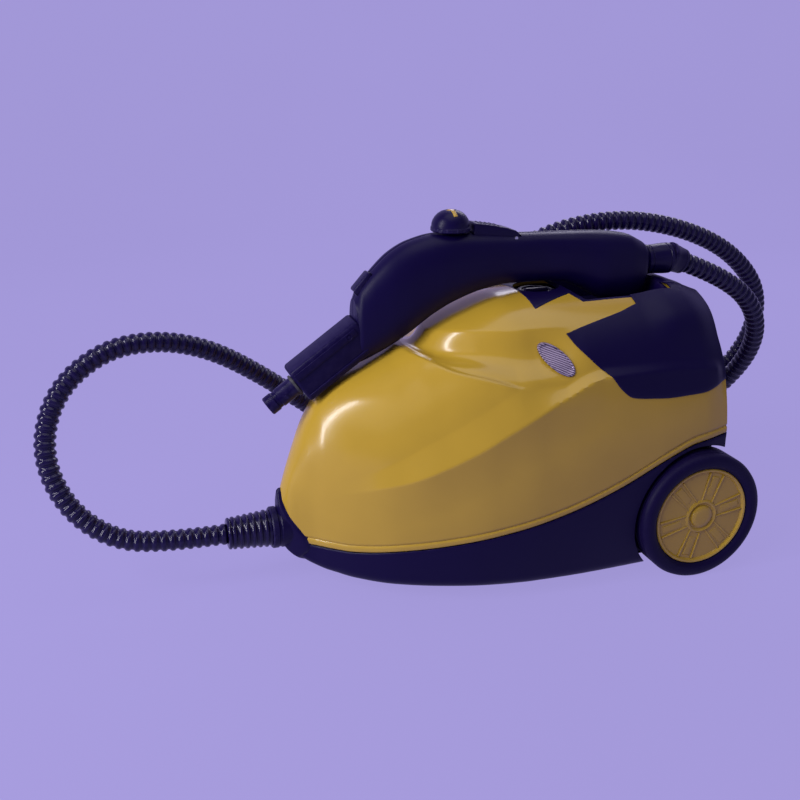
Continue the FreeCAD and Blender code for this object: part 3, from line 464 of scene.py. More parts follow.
def height_to_distance(outline, distance, z):
    """How far round the section the side reaches height z."""
    side = side_start(outline)
    return float(np.interp(z, outline[side:, 1], distance[side:]))


def breadth_to_distance(outline, distance, y):
    """How far round the section the crown reaches the distance y from the middle."""
    top = int(np.argmax(outline[:, 0]))
    return float(np.interp(-y, -outline[top:, 0], distance[top:]))


def tube_faces(rows, around, caps=(0, -1), closed=False):
    """Quads round `rows` rings of `around` points, with a face over each ring listed in `caps`."""
    faces = []
    for i in range(rows if closed else rows - 1):
        low, high = i * around, (i + 1) % rows * around
        for j in range(around):
            after = (j + 1) % around
            faces.append([low + j, low + after, high + after, high + j])
    return faces + [[row % rows * around + j for j in range(around)] for row in caps]


def grid_faces(rows, columns, keep=None):
    faces = []
    for i in range(rows - 1):
        for j in range(columns - 1):
            if keep is None or keep(i, j):
                a = i * columns + j
                faces.append([a, a + 1, a + columns + 1, a + columns])
    return faces


def with_rear_wall(grid, level, steps=10):
    """Close a skin's rear end: a rounded corner, then a flat wall down or up to the line z = level."""
    last = grid[-1]
    middle = np.array([last[0][0], 0.0, level])
    extra = []
    for push, shrink in ((0.35, 0.985), (0.6, 0.96)):
        ring = middle + (last - middle) * np.array([1, shrink, shrink])
        ring[:, 0] += push
        extra.append(ring)
    outer = extra[-1]
    target = outer.copy()
    target[:, 2] = level
    for k in range(1, steps + 1):
        extra.append(outer + (target - outer) * k / steps)
    return np.concatenate([grid, np.array(extra)])


def skin(name, grid, thickness, keep=None):
    rows, columns = grid.shape[:2]
    obj = mesh_object(name, grid.reshape(-1, 3), grid_faces(rows, columns, keep), 50)
    loose = bmesh.new()
    loose.from_mesh(obj.data)
    bmesh.ops.delete(loose, geom=[v for v in loose.verts if not v.link_faces], context="VERTS")
    bmesh.ops.remove_doubles(loose, verts=loose.verts, dist=2e-6)
    bmesh.ops.recalc_face_normals(loose, faces=loose.faces)
    centre = sum((v.co for v in loose.verts), Vector()) / len(loose.verts)
    if sum(f.normal.dot(f.calc_center_median() - centre) for f in loose.faces) < 0:
        bmesh.ops.reverse_faces(loose, faces=loose.faces)
    loose.to_mesh(obj.data)
    loose.free()
    solid = obj.modifiers.new("wall", "SOLIDIFY")
    solid.thickness = thickness * MM
    solid.offset = -1
    solid.use_even_offset = False
    return bake(obj, 50)


# ---------------------------------------------------------------- recesses

WALL = 2.6
LINER = 2.4
WELL_RADIUS, WELL_FLOOR = 65.0, 87.0
WHEEL = Vector((157, 0, 60.5))
CASTER_X, CUP_RADIUS, CUP_ROOF = -118.0, 30.0, 40.0
CRADLE_FRONT, CRADLE_REAR, CRADLE_HALF, CRADLE_FLOOR, CRADLE_LEAN = 96.0, 153.0, 38.0, 232.0, 1.44
CAP_X, CAP_WELL = 40.0, 21.5
LAMPS_X, LAMPS_Y, LAMPS_Z, LAMP_HOLE = 170, -58, (204, 220), 4.2


def drum(name, radius, height, at, axis):
    return lathe(name, [(0, 0), (radius, 0), (radius, height), (0, height)], placed(at, axis), 72)


def cap_well_cutter():
    return drum("cap_well", CAP_WELL, 60, (CAP_X, 0, 215), Z_AXIS)


def cradle_block(name, grow=0.0, top=300.0):
    """The room that the gun's rear end parks in, wider and longer towards its open top."""
    low = CRADLE_FLOOR - grow
    points = []
    for z in (low, top):
        up = z - low
        front = CRADLE_FRONT - grow - CRADLE_LEAN * up
        rear = CRADLE_REAR + grow + 0.1 * up
        half = CRADLE_HALF + grow + 0.2 * up
        points += [(front, -half, z), (rear, -half, z), (rear, half, z), (front, half, z)]
    faces = [[3, 2, 1, 0], [4, 5, 6, 7]] + [[i, (i + 1) % 4, 4 + (i + 1) % 4, 4 + i] for i in range(4)]
    return mesh_object(name, points, faces)


def recess_cutters():
    """The two wheel wells and the caster's cup."""
    cutters = []
    for side in (-1, 1):
        cutters.append(drum("well", WELL_RADIUS, 60, WHEEL + Y_AXIS * side * WELL_FLOOR, Y_AXIS * side))
    cutters.append(drum("cup", CUP_RADIUS, CUP_ROOF + 10, (CASTER_X, 0, -10), Z_AXIS))
    return cutters


# ---------------------------------------------------------------- casing

STATIONS = np.concatenate([np.linspace(-205, -170, 40), np.linspace(-168.5, 186, 250)])
# The upper casing's rows above the seam, how far each rolls in, and the fine line pressed above them.
RIM = [0.0, 0.5, 1.2, 2.2, 3.6, 5.0, 5.7, 6.2, 6.7, 7.2, 7.9, 9.2]
RIM_SINK = [0.9, 0.35, 0.08] + [0.0] * 9
GROOVE = [0, 0, 0, 0, 0, 0.0, 0.45, 0.8, 0.8, 0.45, 0, 0]
ABOVE_SEAM, BELOW_SEAM = 0.4, 0.5


def mirrored(near):
    """The signed rows of a section: up the near side, over the crest and down the far side."""
    return [(-1, s) for s in near] + [(1, s) for s in reversed(near[:-1])]


def tail_fade(x):
    """1 along the hull, falling to 0 where it turns into the flat rear wall."""
    return 1 - ease((x - 172) / 12)


def build_upper():
    """The yellow upper casing, with the scoop, the bonnet, the swoosh and a fine line above its edge."""
    crown_rows = 140

    def spans(x, outline, distance):
        edge = height_to_distance(outline, distance, float(line(SEAM, x)) + ABOVE_SEAM)
        total = distance[-1]
        return mirrored([edge + r for r in RIM] + list(np.linspace(edge + 11, total, crown_rows)))

    grid = strip(STATIONS, spans)
    normals = surface_normals(grid)
    lift = relief(grid[..., 0], grid[..., 2])
    sink = np.zeros(grid.shape[1])
    for k, (a, b) in enumerate(zip(RIM_SINK, GROOVE)):
        sink[k] = sink[-1 - k] = a + b
    fade = ease((grid[..., 0] + 200) / 18) * tail_fade(grid[..., 0])
    grid = grid + normals * (lift * fade - sink[None, :])[..., None]
    grid = with_rear_wall(grid, float(line(SEAM, TAIL_X)) + ABOVE_SEAM)
    obj = skin("upper_casing", grid, WALL)
    carved(obj, cradle_block("cradle", LINER - 0.1), cap_well_cutter())
    return finish_piece(obj, "machine", "yellow_casing", ["upper_shell"])


def build_base():
    """The black lower casing: flat bottomed, with the wheel wells and the caster's cup cut through."""

    def spans(x, outline, distance):
        edge = height_to_distance(outline, distance, float(line(SEAM, x)) - BELOW_SEAM)
        return mirrored([edge - r for r in (0, 0.5, 1.2, 2.4)] + list(np.linspace(edge - 4, 0, 60)))

    grid = strip(STATIONS[::2], spans)
    normals = surface_normals(grid)
    sink = np.zeros(grid.shape[1])
    for k, depth in enumerate((0.9, 0.35, 0.08, 0.0)):
        sink[k] = sink[-1 - k] = depth
    grid = grid - normals * sink[None, :, None]
    grid = with_rear_wall(grid, float(line(SEAM, TAIL_X)) - BELOW_SEAM)
    obj = skin("base_casing", grid, WALL)
    carved(obj, *recess_cutters())
    return finish_piece(obj, "machine", "black_casing", ["base_shell"])


# The rear cover's lower edge as (x, z), the wings' inner edge as (x, y), and where the wings join.
COVER_EDGE = np.array([(35, 231), (41, 221.5), (61, 199.5), (74, 184.5), (83, 178.5), (100, 176),
                       (127, 174), (155, 174), (186, 181)], float)
COVER_INNER = np.array([(35, 73), (70, 65.5), (93, 60), (119, 52), (186, 50)], float)
PINCH = 113.0
COVER_PROUD, COVER_WALL, SHOULDER = 1.15, 0.8, 4.0


def build_cover():
    """The black rear cover: a broad hood over the tail, with a pointed wing forward on each side."""
    stations = np.concatenate([np.linspace(35, 60, 22), np.linspace(61.5, PINCH, 36),
                               np.linspace(PINCH + 1.5, TAIL_X, 50)])
    wing_rows, hood_rows = 40, 24

    def spans(x, outline, distance):
        low = height_to_distance(outline, distance, float(line(COVER_EDGE, x)))
        high = breadth_to_distance(outline, distance, float(line(COVER_INNER, x)))
        high = max(high, low + 0.6)
        span = high - low
        t = np.concatenate([[0, 0.012, 0.03, 0.06], np.linspace(0.1, 0.94, wing_rows - 7),
                            [0.97, 0.988, 1.0]])
        return mirrored([low + span * k for k in t]
                        + list(np.linspace(high, distance[-1], hood_rows)[1:]))

    grid = strip(stations, spans)
    normals = surface_normals(grid)
    lift = relief(grid[..., 0], grid[..., 2]) * tail_fade(grid[..., 0])
    columns = grid.shape[1]
    proud = np.full(grid.shape[:2], COVER_PROUD)
    for k, depth in enumerate((0.75, 0.3, 0.08)):
        proud[:, k] -= depth
        proud[:, -1 - k] -= depth
    ahead = stations < PINCH
    for k, depth in ((wing_rows - 1, 0.75), (wing_rows - 2, 0.3), (wing_rows - 3, 0.08)):
        proud[ahead, k] -= depth
        proud[ahead, columns - 1 - k] -= depth
    across = np.abs(grid[..., 1])
    shoulder = (ease((grid[..., 0] - 112) / 35) * ease((across - 20) / 14)
                * ease((grid[..., 2] - 212) / 25))
    grid = grid + normals * (lift + proud + SHOULDER * shoulder)[..., None]
    keep_from = int(np.argmax(stations >= PINCH))
    grid = with_rear_wall(grid, 181.0)

    def keep(i, j):
        return i >= keep_from or j < wing_rows - 1 or j >= columns - wing_rows

    obj = skin("rear_hood", grid, COVER_WALL, keep)
    rocker_hole = block("rocker_hole", (30, 31, 23), placed((TAIL_X, -24, 200), Z_AXIS))
    lamp_holes = [drum("lamp_hole", LAMP_HOLE, 30, (LAMPS_X, LAMPS_Y, z), X_AXIS) for z in LAMPS_Z]
    carved(obj, cradle_block("cradle"), rocker_hole, *lamp_holes)
    return finish_piece(obj, "machine", "black_casing", ["rear_cover"])


def build_deck():
    """The black filler deck let into the crown: straight across the front, narrowing to the cradle."""
    front, rear = 18, 70
    stations = np.linspace(front, rear, 36)

    def spans(x, outline, distance):
        half = float(np.interp(x, [front, rear], [45, 24.5]))
        low = breadth_to_distance(outline, distance, half)
        t = np.array([0, 0.012, 0.03] + list(np.linspace(0.06, 1, 22)))
        return mirrored(list(low + (distance[-1] - low) * t))

    grid = strip(stations, spans)
    normals = surface_normals(grid)
    lift = relief(grid[..., 0], grid[..., 2])
    proud = np.full(grid.shape[:2], 0.75)
    for k, depth in enumerate((0.55, 0.2, 0.04)):
        proud[:, k] -= depth
        proud[:, -1 - k] -= depth
        proud[k, :] -= depth
    grid = grid + normals * (lift + proud)[..., None]
    obj = skin("filler_deck", grid, 0.6)
    carved(obj, cradle_block("cradle"), cap_well_cutter())
    return finish_piece(obj, "machine", "black_casing", ["deck_panel"])


def build_liners():
    """The walls of the wheel wells, the caster's cup and the gun's cradle, trimmed to the hull."""
    cups = []
    for side in (-1, 1):
        foot = WHEEL + Y_AXIS * side * (WELL_FLOOR - LINER)
        profile = [(5, 0), (WELL_RADIUS + LINER, 0), (WELL_RADIUS + LINER, 50), (WELL_RADIUS, 50),
                   (WELL_RADIUS, LINER), (5, LINER), (5, 0)]
        cups.append(lathe("well_wall", profile, placed(foot, Y_AXIS * side), 96))
    profile = [(4.2, CUP_ROOF + LINER), (CUP_RADIUS + LINER, CUP_ROOF + LINER), (CUP_RADIUS + LINER, 0),
               (CUP_RADIUS, 0), (CUP_RADIUS, CUP_ROOF), (4.2, CUP_ROOF), (4.2, CUP_ROOF + LINER)]
    cups.append(lathe("cup_wall", profile, placed((CASTER_X, 0, 0), Z_AXIS), 72))
    tray = cradle_block("cradle_wall", LINER)
    carved(tray, cradle_block("cradle_room", 0.0, 310.0), cap_well_cutter())
    liners = joined("recess_walls", cups + [tray])

    def spans(x, outline, distance):
        near = list(np.linspace(0, distance[-1], 80))
        return [(-1, s) for s in near] + [(1, s) for s in reversed(near[1:-1])]

    grid = strip(STATIONS[::3], spans)
    whole = mesh_object("whole_hull", grid.reshape(-1, 3), tube_faces(*grid.shape[:2]))
    carved(liners, whole, operation="INTERSECT")
    return finish_piece(liners, "machine", "black_casing")


# ---------------------------------------------------------------- nose socket, cuff and badges

SOCKET_Z = 51.0


def front_of_hull(y, z):
    """The foremost x at which the hull covers the point (y, z)."""
    for x in np.linspace(-205, -140, 131):
        outline = half_outline(x)
        keel, crest = outline[0, 1], outline[-1, 1]
        if keel <= z <= crest:
            side = side_start(outline)
            if abs(y) <= np.interp(z, outline[side:, 1], outline[side:, 0]):
                return float(x)
    return -140.0


def build_nose():
    """A shield-shaped plate wrapped over the bow, with the round hose collar on it."""
    shield = [(0, 91), (-9, 77), (-17, 62), (-25, 46), (-26, 36), (-14, 20), (0, 14)]
    ring = shield + [(-y, z) for y, z in reversed(shield[1:-1])]
    loop = np.array(ring + [ring[0]], float)
    steps = along(loop)
    around = 72
    rim = np.array([[np.interp(s, steps, loop[:, c]) for c in (0, 1)]
                    for s in np.linspace(0, steps[-1], around, endpoint=False)])
    for _ in range(2):
        rim = (np.roll(rim, 1, 0) + 2 * rim + np.roll(rim, -1, 0)) / 4
    middle = np.array([0.0, SOCKET_Z])
    points = []
    # Each ring's share of the rim's breadth, and how far it stands off the hull.
    shells = [(0.45, 4.4), (0.6, 4.2), (0.75, 4.0), (0.88, 3.8), (0.95, 3.5), (0.985, 2.9), (1.0, 2.0),
              (1.0, -1.6), (0.6, -1.6), (0.45, -1.6)]
    for k, proud in shells:
        for spot in middle + (rim - middle) * k:
            points.append((front_of_hull(*spot) - proud, spot[0], spot[1]))
    plate = mesh_object("nose_plate", points, tube_faces(len(shells), around, (), closed=True), 40)
    profile = [(10, 44), (18.2, 44), (19, 14), (19, 9), (18.2, 8), (18.2, 6.4), (19, 5.6), (19, 1.2),
               (18, 0), (11.5, 0), (10, 2), (10, 44)]
    collar = lathe("nose_collar", profile, placed((-216, 0, SOCKET_Z), X_AXIS), 72)
    obj = joined("nose_socket_shield", [plate, collar])
    return finish_piece(obj, "machine", "black_plastic", ["nose_socket"])


def build_cuff():
    """The hose cuff: a tapered sleeve with raised grip rings and a lip where the hose goes in."""
    length, rings = 39.0, 6
    profile = [(9.4, 0.0), (12.6, 0.0), (13.9, 0.6), (14.4, 1.6), (14.2, 2.6), (13.1, 3.2)]
    for k in range(rings):
        start = 4.0 + k * 5.7
        root = 13.0 + 3.0 * start / length
        profile += [(root, start), (root + 1.1, start + 0.5), (root + 1.5, start + 1.3),
                    (root + 1.5, start + 2.3), (root + 1.1, start + 3.1), (root, start + 3.6)]
    profile += [(16.4, 38.4), (15.8, length), (11, length), (9.4, length - 2), (9.4, 0.0)]
    obj = lathe("hose_cuff_sleeve", profile, placed((-255, 0, SOCKET_Z), X_AXIS), 64, 60)
    return finish_piece(obj, "machine", "hose_plastic", ["hose_cuff"])


def side_point(x, z, proud):
    """How far out the flank stands at (x, z), plus `proud`."""
    outline = half_outline(x)
    side = side_start(outline)
    y = float(np.interp(z, outline[side:, 1], outline[side:, 0]))
    return y + float(relief(np.array(x), np.array(z))) + proud


def build_badges():
    """A hatched oval on each flank in a thin raised rim, leaning back with the cover's edge."""
    lean = math.radians(-42)
    long, short = 15.5, 8.5
    middle_x, middle_z = 21, 212.5
    rings = [(0.02, 1.0), (0.3, 1.0), (0.6, 0.9), (0.84, 0.75), (0.87, 1.5), (0.93, 1.7), (0.98, 1.4),
             (1.0, -0.6)]
    around = 48
    halves = []
    for side in (-1, 1):
        points = []
        for k, proud in rings:
            for j in range(around):
                a = 2 * math.pi * j / around
                u, v = k * long * math.cos(a), k * short * math.sin(a)
                x = middle_x + u * math.cos(lean) - v * math.sin(lean)
                z = middle_z + u * math.sin(lean) + v * math.cos(lean)
                points.append((x, side * side_point(x, z, proud * 0.9), z))
        halves.append(mesh_object("badge", points, tube_faces(len(rings), around, (0,)), 50))
    obj = joined("flank_badges", halves)
    return finish_piece(obj, "machine", "badge_metal", ["side_badges"])


# ---------------------------------------------------------------- wheels

def build_wheel(side):
    """A grooved tyre round a yellow disc with paired spokes and raised pads; side -1 is the near one."""
    name = "far" if side > 0 else "near"
    body = f"wheel_{name}"
    place = placed(WHEEL + Y_AXIS * side * 92, Y_AXIS * side, X_AXIS)
    tread = [(34.5, 0.0), (53, 0.0), (57.5, 0.8), (59.8, 3.0), (60.5, 6.0)]
    for groove in (9.0, 16.0, 23.0):
        tread += [(60.5, groove), (59.7, groove + 0.5), (59.7, groove + 1.5), (60.5, groove + 2.0)]
    tread += [(60.5, 27.5), (59.6, 30.2), (57.4, 32.2), (54.5, 33.0), (51.0, 32.9), (49.4, 32.2),
              (48.6, 31.0), (47.4, 30.2), (46.8, 29.4), (46.8, 6.0), (34.5, 6.0), (34.5, 0.0)]
    tyre = lathe(f"tyre_{name}_ring", tread, place, 128, 50)
    finish_piece(tyre, body, "tyre", [f"tyre_{name}"])

    face = [(4.06, 1.0), (14, 1.0), (14, 6.2), (46.4, 6.2), (46.4, 29.6), (45.6, 30.4), (44.2, 30.2),
            (43.2, 29.2), (42.4, 28.0), (30, 28.3), (16.5, 28.6), (15.6, 29.8), (14.4, 30.2), (13.2, 29.8),
            (12.2, 28.6), (11.0, 28.4), (10.2, 30.0), (8.6, 30.8), (6.0, 31.0), (0, 31.0), (0, 26.4),
            (10, 26.4), (10, 25.5), (4.06, 25.5), (4.06, 1.0)]
    pieces = [lathe(f"disc_{name}", face, place, 128, 40)]
    for k in range(6):
        for flank in (-1, 1):
            start = math.radians(60 * k + 42 + flank * 9)
            end = math.radians(60 * k + 42 + flank * 20)
            a = Vector((15.5 * math.cos(start), 15.5 * math.sin(start), 27.9))
            b = Vector((42.6 * math.cos(end), 42.6 * math.sin(end), 27.6))
            rib = placed(place @ ((a + b) / 2), place.to_3x3() @ Z_AXIS, place.to_3x3() @ (b - a))
            pieces.append(block("rib", ((b - a).length, 1.7, 1.6), rib, 0.5))
        middle = math.radians(60 * k + 72)
        wedge_at = Vector((30 * math.cos(middle), 30 * math.sin(middle), 27.8))
        radial = Vector((math.cos(middle), math.sin(middle), 0))
        wedge = placed(place @ wedge_at, place.to_3x3() @ Z_AXIS, place.to_3x3() @ radial)
        pieces.append(block("pad", (20, 7.5, 1.1), wedge, 0.4, 0.88))
    disc = joined(f"wheel_face_{name}", pieces)
    finish_piece(disc, body, "yellow_casing", [f"wheel_disc_{name}"])


# ---------------------------------------------------------------- gun

# Stations along the gun: x, top, bottom, half width.
GUN = np.array([
    (-134, 262, 199, 15), (-118, 281, 206, 19), (-100, 297, 215, 22), (-84, 305, 225, 23),
    (-62, 310, 240, 23), (-44, 311, 249, 22), (-16, 309, 258, 20), (12, 306.5, 261.5, 18),
    (42, 305.5, 261.5, 18), (62, 305, 259.5, 18.5), (80, 304.5, 253, 19), (105, 303, 240, 21),
    (128, 299.5, 236, 20), (142, 293, 241, 17), (150, 288.5, 258, 14)], float)
PITCH = math.radians(35)
BARREL_DIR = Vector((math.cos(PITCH), 0, math.sin(PITCH)))
BARREL_UP = Vector((-math.sin(PITCH), 0, math.cos(PITCH)))
BARREL_FRONT = Vector((-186, 0, 186))
BUTTON = Vector((-126, 0, 271.5))
BUTTON_OUT = Vector((-0.7431, 0, 0.6691))
BUTTON_ALONG = Vector((0.6691, 0, 0.7431))
DIAL_X = -45
GUN_REAR_Z = 273


def build_gun_shells():
    """Two halves of the gun's body, meeting in a fine parting groove down the middle."""
    stations = np.concatenate([np.linspace(-134, -128, 9), np.linspace(-126.5, 143.5, 176),
                               np.linspace(144.5, 150, 7)])
    turns = np.concatenate([[-90, -89.2, -88.2, -86.5, -84], np.linspace(-80, 80, 45),
                            [84, 86.5, 88.2, 89.2, 90]])
    angles = np.radians(turns)
    across = np.cos(angles) ** (2 / 2.5)
    upward = np.sign(np.sin(angles)) * np.abs(np.sin(angles)) ** (2 / 2.5)
    groove = np.array([0.55, 0.5, 0.15, 0, 0] + [0] * 45 + [0, 0, 0.15, 0.5, 0.55])
    for side, side_name in ((-1, "near"), (1, "far")):
        grid = []
        for x in stations:
            top, bottom, half = (float(line(GUN[:, [0, c]], x)) for c in (1, 2, 3))
            middle, rise = (top + bottom) / 2, (top - bottom) / 2
            end = min(x - GUN[0, 0], GUN[-1, 0] - x)
            round_off = 1 - 0.14 * (1 - ease(end / 6)) ** 2
            palm = 1.4 * math.exp(-((x - 40) / 26) ** 2)
            row = []
            for a, u, g in zip(across, upward, groove):
                y = (half * round_off - palm * abs(a) ** 3) * a
                z = middle + (rise * round_off - g) * u
                row.append((x, side * max(y, 0.12), z))
            grid.append(row)
        grid = np.array(grid)
        rows, columns = grid.shape[:2]
        faces = grid_faces(rows, columns)
        faces.append(list(range(columns)))
        faces.append([(rows - 1) * columns + j for j in range(columns)][::-1])
        faces.append([i * columns for i in range(rows)]
                     + [i * columns + columns - 1 for i in reversed(range(rows))])
        obj = mesh_object(f"gun_body_{side_name}", grid.reshape(-1, 3), faces, 50)
        carved(obj, block("lever_room", (46.5, 19, 40), placed((-4.2, 0, 290), Z_AXIS)),
               drum("lever_spring_room", 4.4, 20, (-14, 0, 285.8), Z_AXIS),
               drum("dial_room", 18.3, 30, (DIAL_X, 0, 309.5), Z_AXIS),
               block("button_room", (22, 14, 36),
                     placed(BUTTON - BUTTON_OUT * 14.2, BUTTON_OUT, BUTTON_ALONG)))
        finish_piece(obj, "steam_gun", "black_casing", [f"gun_shell_{side_name}"])


def build_barrel():
    """The square barrel with its bevelled mouth, side strips and dimples, and the round nozzle."""
    barrel = block("barrel_bar", (33, 28, 74), placed(BARREL_FRONT, BARREL_DIR, BARREL_UP), 3.2)
    mouth = drum("mouth", 11.0, 6, BARREL_FRONT - BARREL_DIR * 3, BARREL_DIR)
    bore = drum("bore", 8.9, 50, BARREL_FRONT - BARREL_DIR * 3, BARREL_DIR)
    carved(barrel, mouth, bore)
    trim = []
    for side in (-1, 1):
        middle = BARREL_FRONT + BARREL_DIR * 35 + Y_AXIS * side * 13.4
        for up, breadth in ((9.4, 6.5), (-11.0, 2.2)):
            place = placed(middle + BARREL_UP * up, Y_AXIS * side, BARREL_DIR)
            trim.append(block("barrel_strip", (66, breadth, 1.5), place, 0.5))
        at = BARREL_FRONT + BARREL_DIR * 60 + BARREL_UP * 9.4 + Y_AXIS * side * 14.5
        profile = [(0, 0.7), (1.6, 0.7), (1.9, 0.2), (2.6, 0.9), (3.2, 0.8), (3.4, 0)]
        trim.append(lathe("dimple", profile, placed(at, Y_AXIS * side), 24))
    obj = joined("gun_barrel_bar", [barrel] + trim)
    finish_piece(obj, "steam_gun", "black_casing", ["gun_barrel"])

    profile = [(4.5, -15), (4.5, 29), (6.6, 32.2), (8.0, 32.3), (8.7, 31.4), (8.7, 24), (7.9, 23.2),
               (7.9, 20.4), (8.7, 19.6), (8.7, -15), (4.5, -15)]
    place = placed(BARREL_FRONT, -BARREL_DIR)
    pins = []
    for side in (-1, 1):
        at = BARREL_FRONT - BARREL_DIR * 14 + Y_AXIS * side * 8.2
        pins.append(drum("lug", 1.7, 1.6, at, Y_AXIS * side))
    nozzle = joined("nozzle_tube", [lathe("nozzle", profile, place, 48)] + pins)
    finish_piece(nozzle, "steam_gun", "black_plastic", ["nozzle_tip"])


def build_controls():
    """The release button, the steam dial with its yellow pointer, and the thumb lever behind it."""
    outward, tangent = BUTTON_OUT, BUTTON_ALONG
    foot = BUTTON - outward * 6
    pad = [block("release_pad", (21, 13, 9.2), placed(foot, outward, tangent), 1.8)]
    for k in range(4):
        at = foot + outward * 8.6 + tangent * (k * 3.4 - 5.1)
        pad.append(block("pad_rib", (1.3, 9.0, 0.9), placed(at, outward, tangent), 0.35))
    finish_piece(joined("release_button_pad", pad), "release_button", "black_plastic", ["release_button"])

    dial = [(0, -16), (4, -16), (4, 0), (16.6, 0), (17.4, 0.8), (17.5, 3.2), (16.8, 4.0), (16.8, 5.0),
            (16.6, 7.0), (15.7, 9.6), (14.0, 12.4), (11.6, 14.9), (8.6, 16.8), (6.0, 17.7), (4.7, 18.0),
            (4.1, 17.6), (4.1, 14.4), (0, 14.4)]
    place = placed((DIAL_X, 0, 311.5), Z_AXIS)
    knob = [lathe("dial", dial, place, 64, 50)]
    for k in range(24):
        a = 2 * math.pi * k / 24
        at = Vector((DIAL_X + 17.0 * math.cos(a), 17.0 * math.sin(a), 312.3))
        outside = (math.cos(a), math.sin(a), 0)
        knob.append(block("grip", (1.2, 1.5, 3.0), placed(at, Z_AXIS, outside), 0.3, 0.8))
    finish_piece(joined("steam_dial_dome", knob), "steam_dial", "black_plastic", ["steam_dial"])
    pointer = [(0, 14.6), (3.9, 14.6), (4.0, 17.2), (3.5, 18.0), (2.2, 18.4), (0, 18.5)]
    spot = lathe("pointer", pointer, place, 32, 50)
    down_the_dome = placed((DIAL_X, -8.6, 326.6), (0, -0.5, 0.87), (0, 0.87, 0.5))
    finger = block("pointer_arm", (8.0, 3.6, 1.8), down_the_dome, 0.6)
    finish_piece(joined("dial_pointer_spot", [spot, finger]), "steam_dial", "yellow_casing",
                 ["dial_pointer"])

    side_view = [(-26, 300), (-26, 317.2), (-24.6, 318), (-6, 315), (6, 312.2), (14, 309.5), (17.2, 307.0),
                 (17.5, 301.5), (14, 300.2), (10, 300), (-4, 303)]
    points = [(x, -9, z) for x, z in side_view] + [(x, 9, z) for x, z in side_view]
    count = len(side_view)
    faces = [list(range(count)), [count + i for i in reversed(range(count))]]
    faces += [[i, count + i, count + (i + 1) % count, (i + 1) % count] for i in range(count)]
    lever = softened(mesh_object("lever", points, faces), 1.1)
    parts = [lever]
    for k in range(5):
        x = -19 + 4.2 * k
        top = float(np.interp(x, [-24.6, -6, 6], [318, 315, 312.2]))
        parts.append(block("lever_rib", (1.5, 13, 1.1), placed((x, 0, top - 0.5), Z_AXIS), 0.4))
    finish_piece(joined("thumb_lever", parts), "steam_lever", "black_plastic", ["steam_lever"])


def build_spring(name, node_name, foot, axis, radius, height):
    """A coil spring of round wire, standing on its foot along `axis`."""
    wire, turns, around, steps = 0.55, 5.5, 8, 120
    place = placed(foot, axis)
    points = []
    for i in range(steps + 1):
        t = i / steps
        turn = 2 * math.pi * turns * t
        z = wire + (height - 2 * wire) * t
        for j in range(around):
            a = 2 * math.pi * j / around
            r = radius - wire + wire * math.cos(a)
            points.append(place @ Vector((r * math.cos(turn), r * math.sin(turn), z + wire * math.sin(a))))
    spring = mesh_object(name, points, tube_faces(steps + 1, around), 60)
    finish_piece(spring, "steam_gun", "steel", [node_name])
    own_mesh(spring)


def build_hose_collar():
    """The swivel collar at the gun's rear and the tapered relief that leans down to the hose."""
    neck = [(0, 130.2), (12, 130.2), (12, 150.2), (13.6, 150.8), (13.9, 152), (13.9, 153.6), (12.9, 154.4),
            (12.9, 155.4), (13.4, 156.0), (14.1, 166.0), (14.4, 171.0), (14.4, 172.0), (13.9, 172.4),
            (13.9, 173.2), (14.4, 173.6), (14.4, 176.0), (13.4, 177.4), (0, 177.4)]
    body = lathe("neck", neck, placed((0, 0, GUN_REAR_Z), X_AXIS), 56, 50)
    lean = Vector((52, 0, -20)).normalized()
    root = Vector((194, 0, 268)) - lean * 18
    boot = [(0, 0), (13.8, 0), (13.8, 3), (13.2, 4), (12.7, 9), (12.3, 12), (12.3, 13), (11.7, 13.4),
            (11.7, 14.2), (12.1, 14.6), (11.9, 16.8), (10.8, 17.6), (0, 17.6)]
    tail = lathe("relief", boot, placed(root, lean), 56, 50)
    finish_piece(joined("gun_hose_collar", [body, tail]), "steam_gun", "black_plastic", ["hose_collar"])


def build_cap():
    """The filler cap: a fluted rim, a dished top and a grip bar."""
    flutes, around = 10, 160
    points = []
    # Each ring's radius and height, and the share of the flutes' depth that it has.
    levels = [(18.3, 238, 0.6), (18.4, 239, 1.0), (18.4, 250.5, 1.0), (17.6, 252.2, 1.0),
              (16.0, 253.0, 0.6), (13.5, 253.0, 0.0), (12.8, 251.6, 0.0), (8.8, 251.4, 0.0)]
    for radius, z, depth in levels:
        for j in range(around):
            a = 2 * math.pi * j / around
            bite = depth * 1.5 * max(0.0, math.cos(flutes * a)) ** 3
            points.append((CAP_X + (radius - bite) * math.cos(a), (radius - bite) * math.sin(a), z))
    cap = [mesh_object("cap_rim", points, tube_faces(len(levels), around), 50),
           drum("cap_plug", 8.7, 17, (CAP_X, 0, 222), Z_AXIS),
           block("cap_bar", (24, 6, 3.2), placed((CAP_X, 0, 251.2), Z_AXIS), 1.2, 0.9)]
    return finish_piece(joined("filler_cap_fluted", cap), "safety_cap", "black_plastic", ["safety_cap"])


# ---------------------------------------------------------------- hose

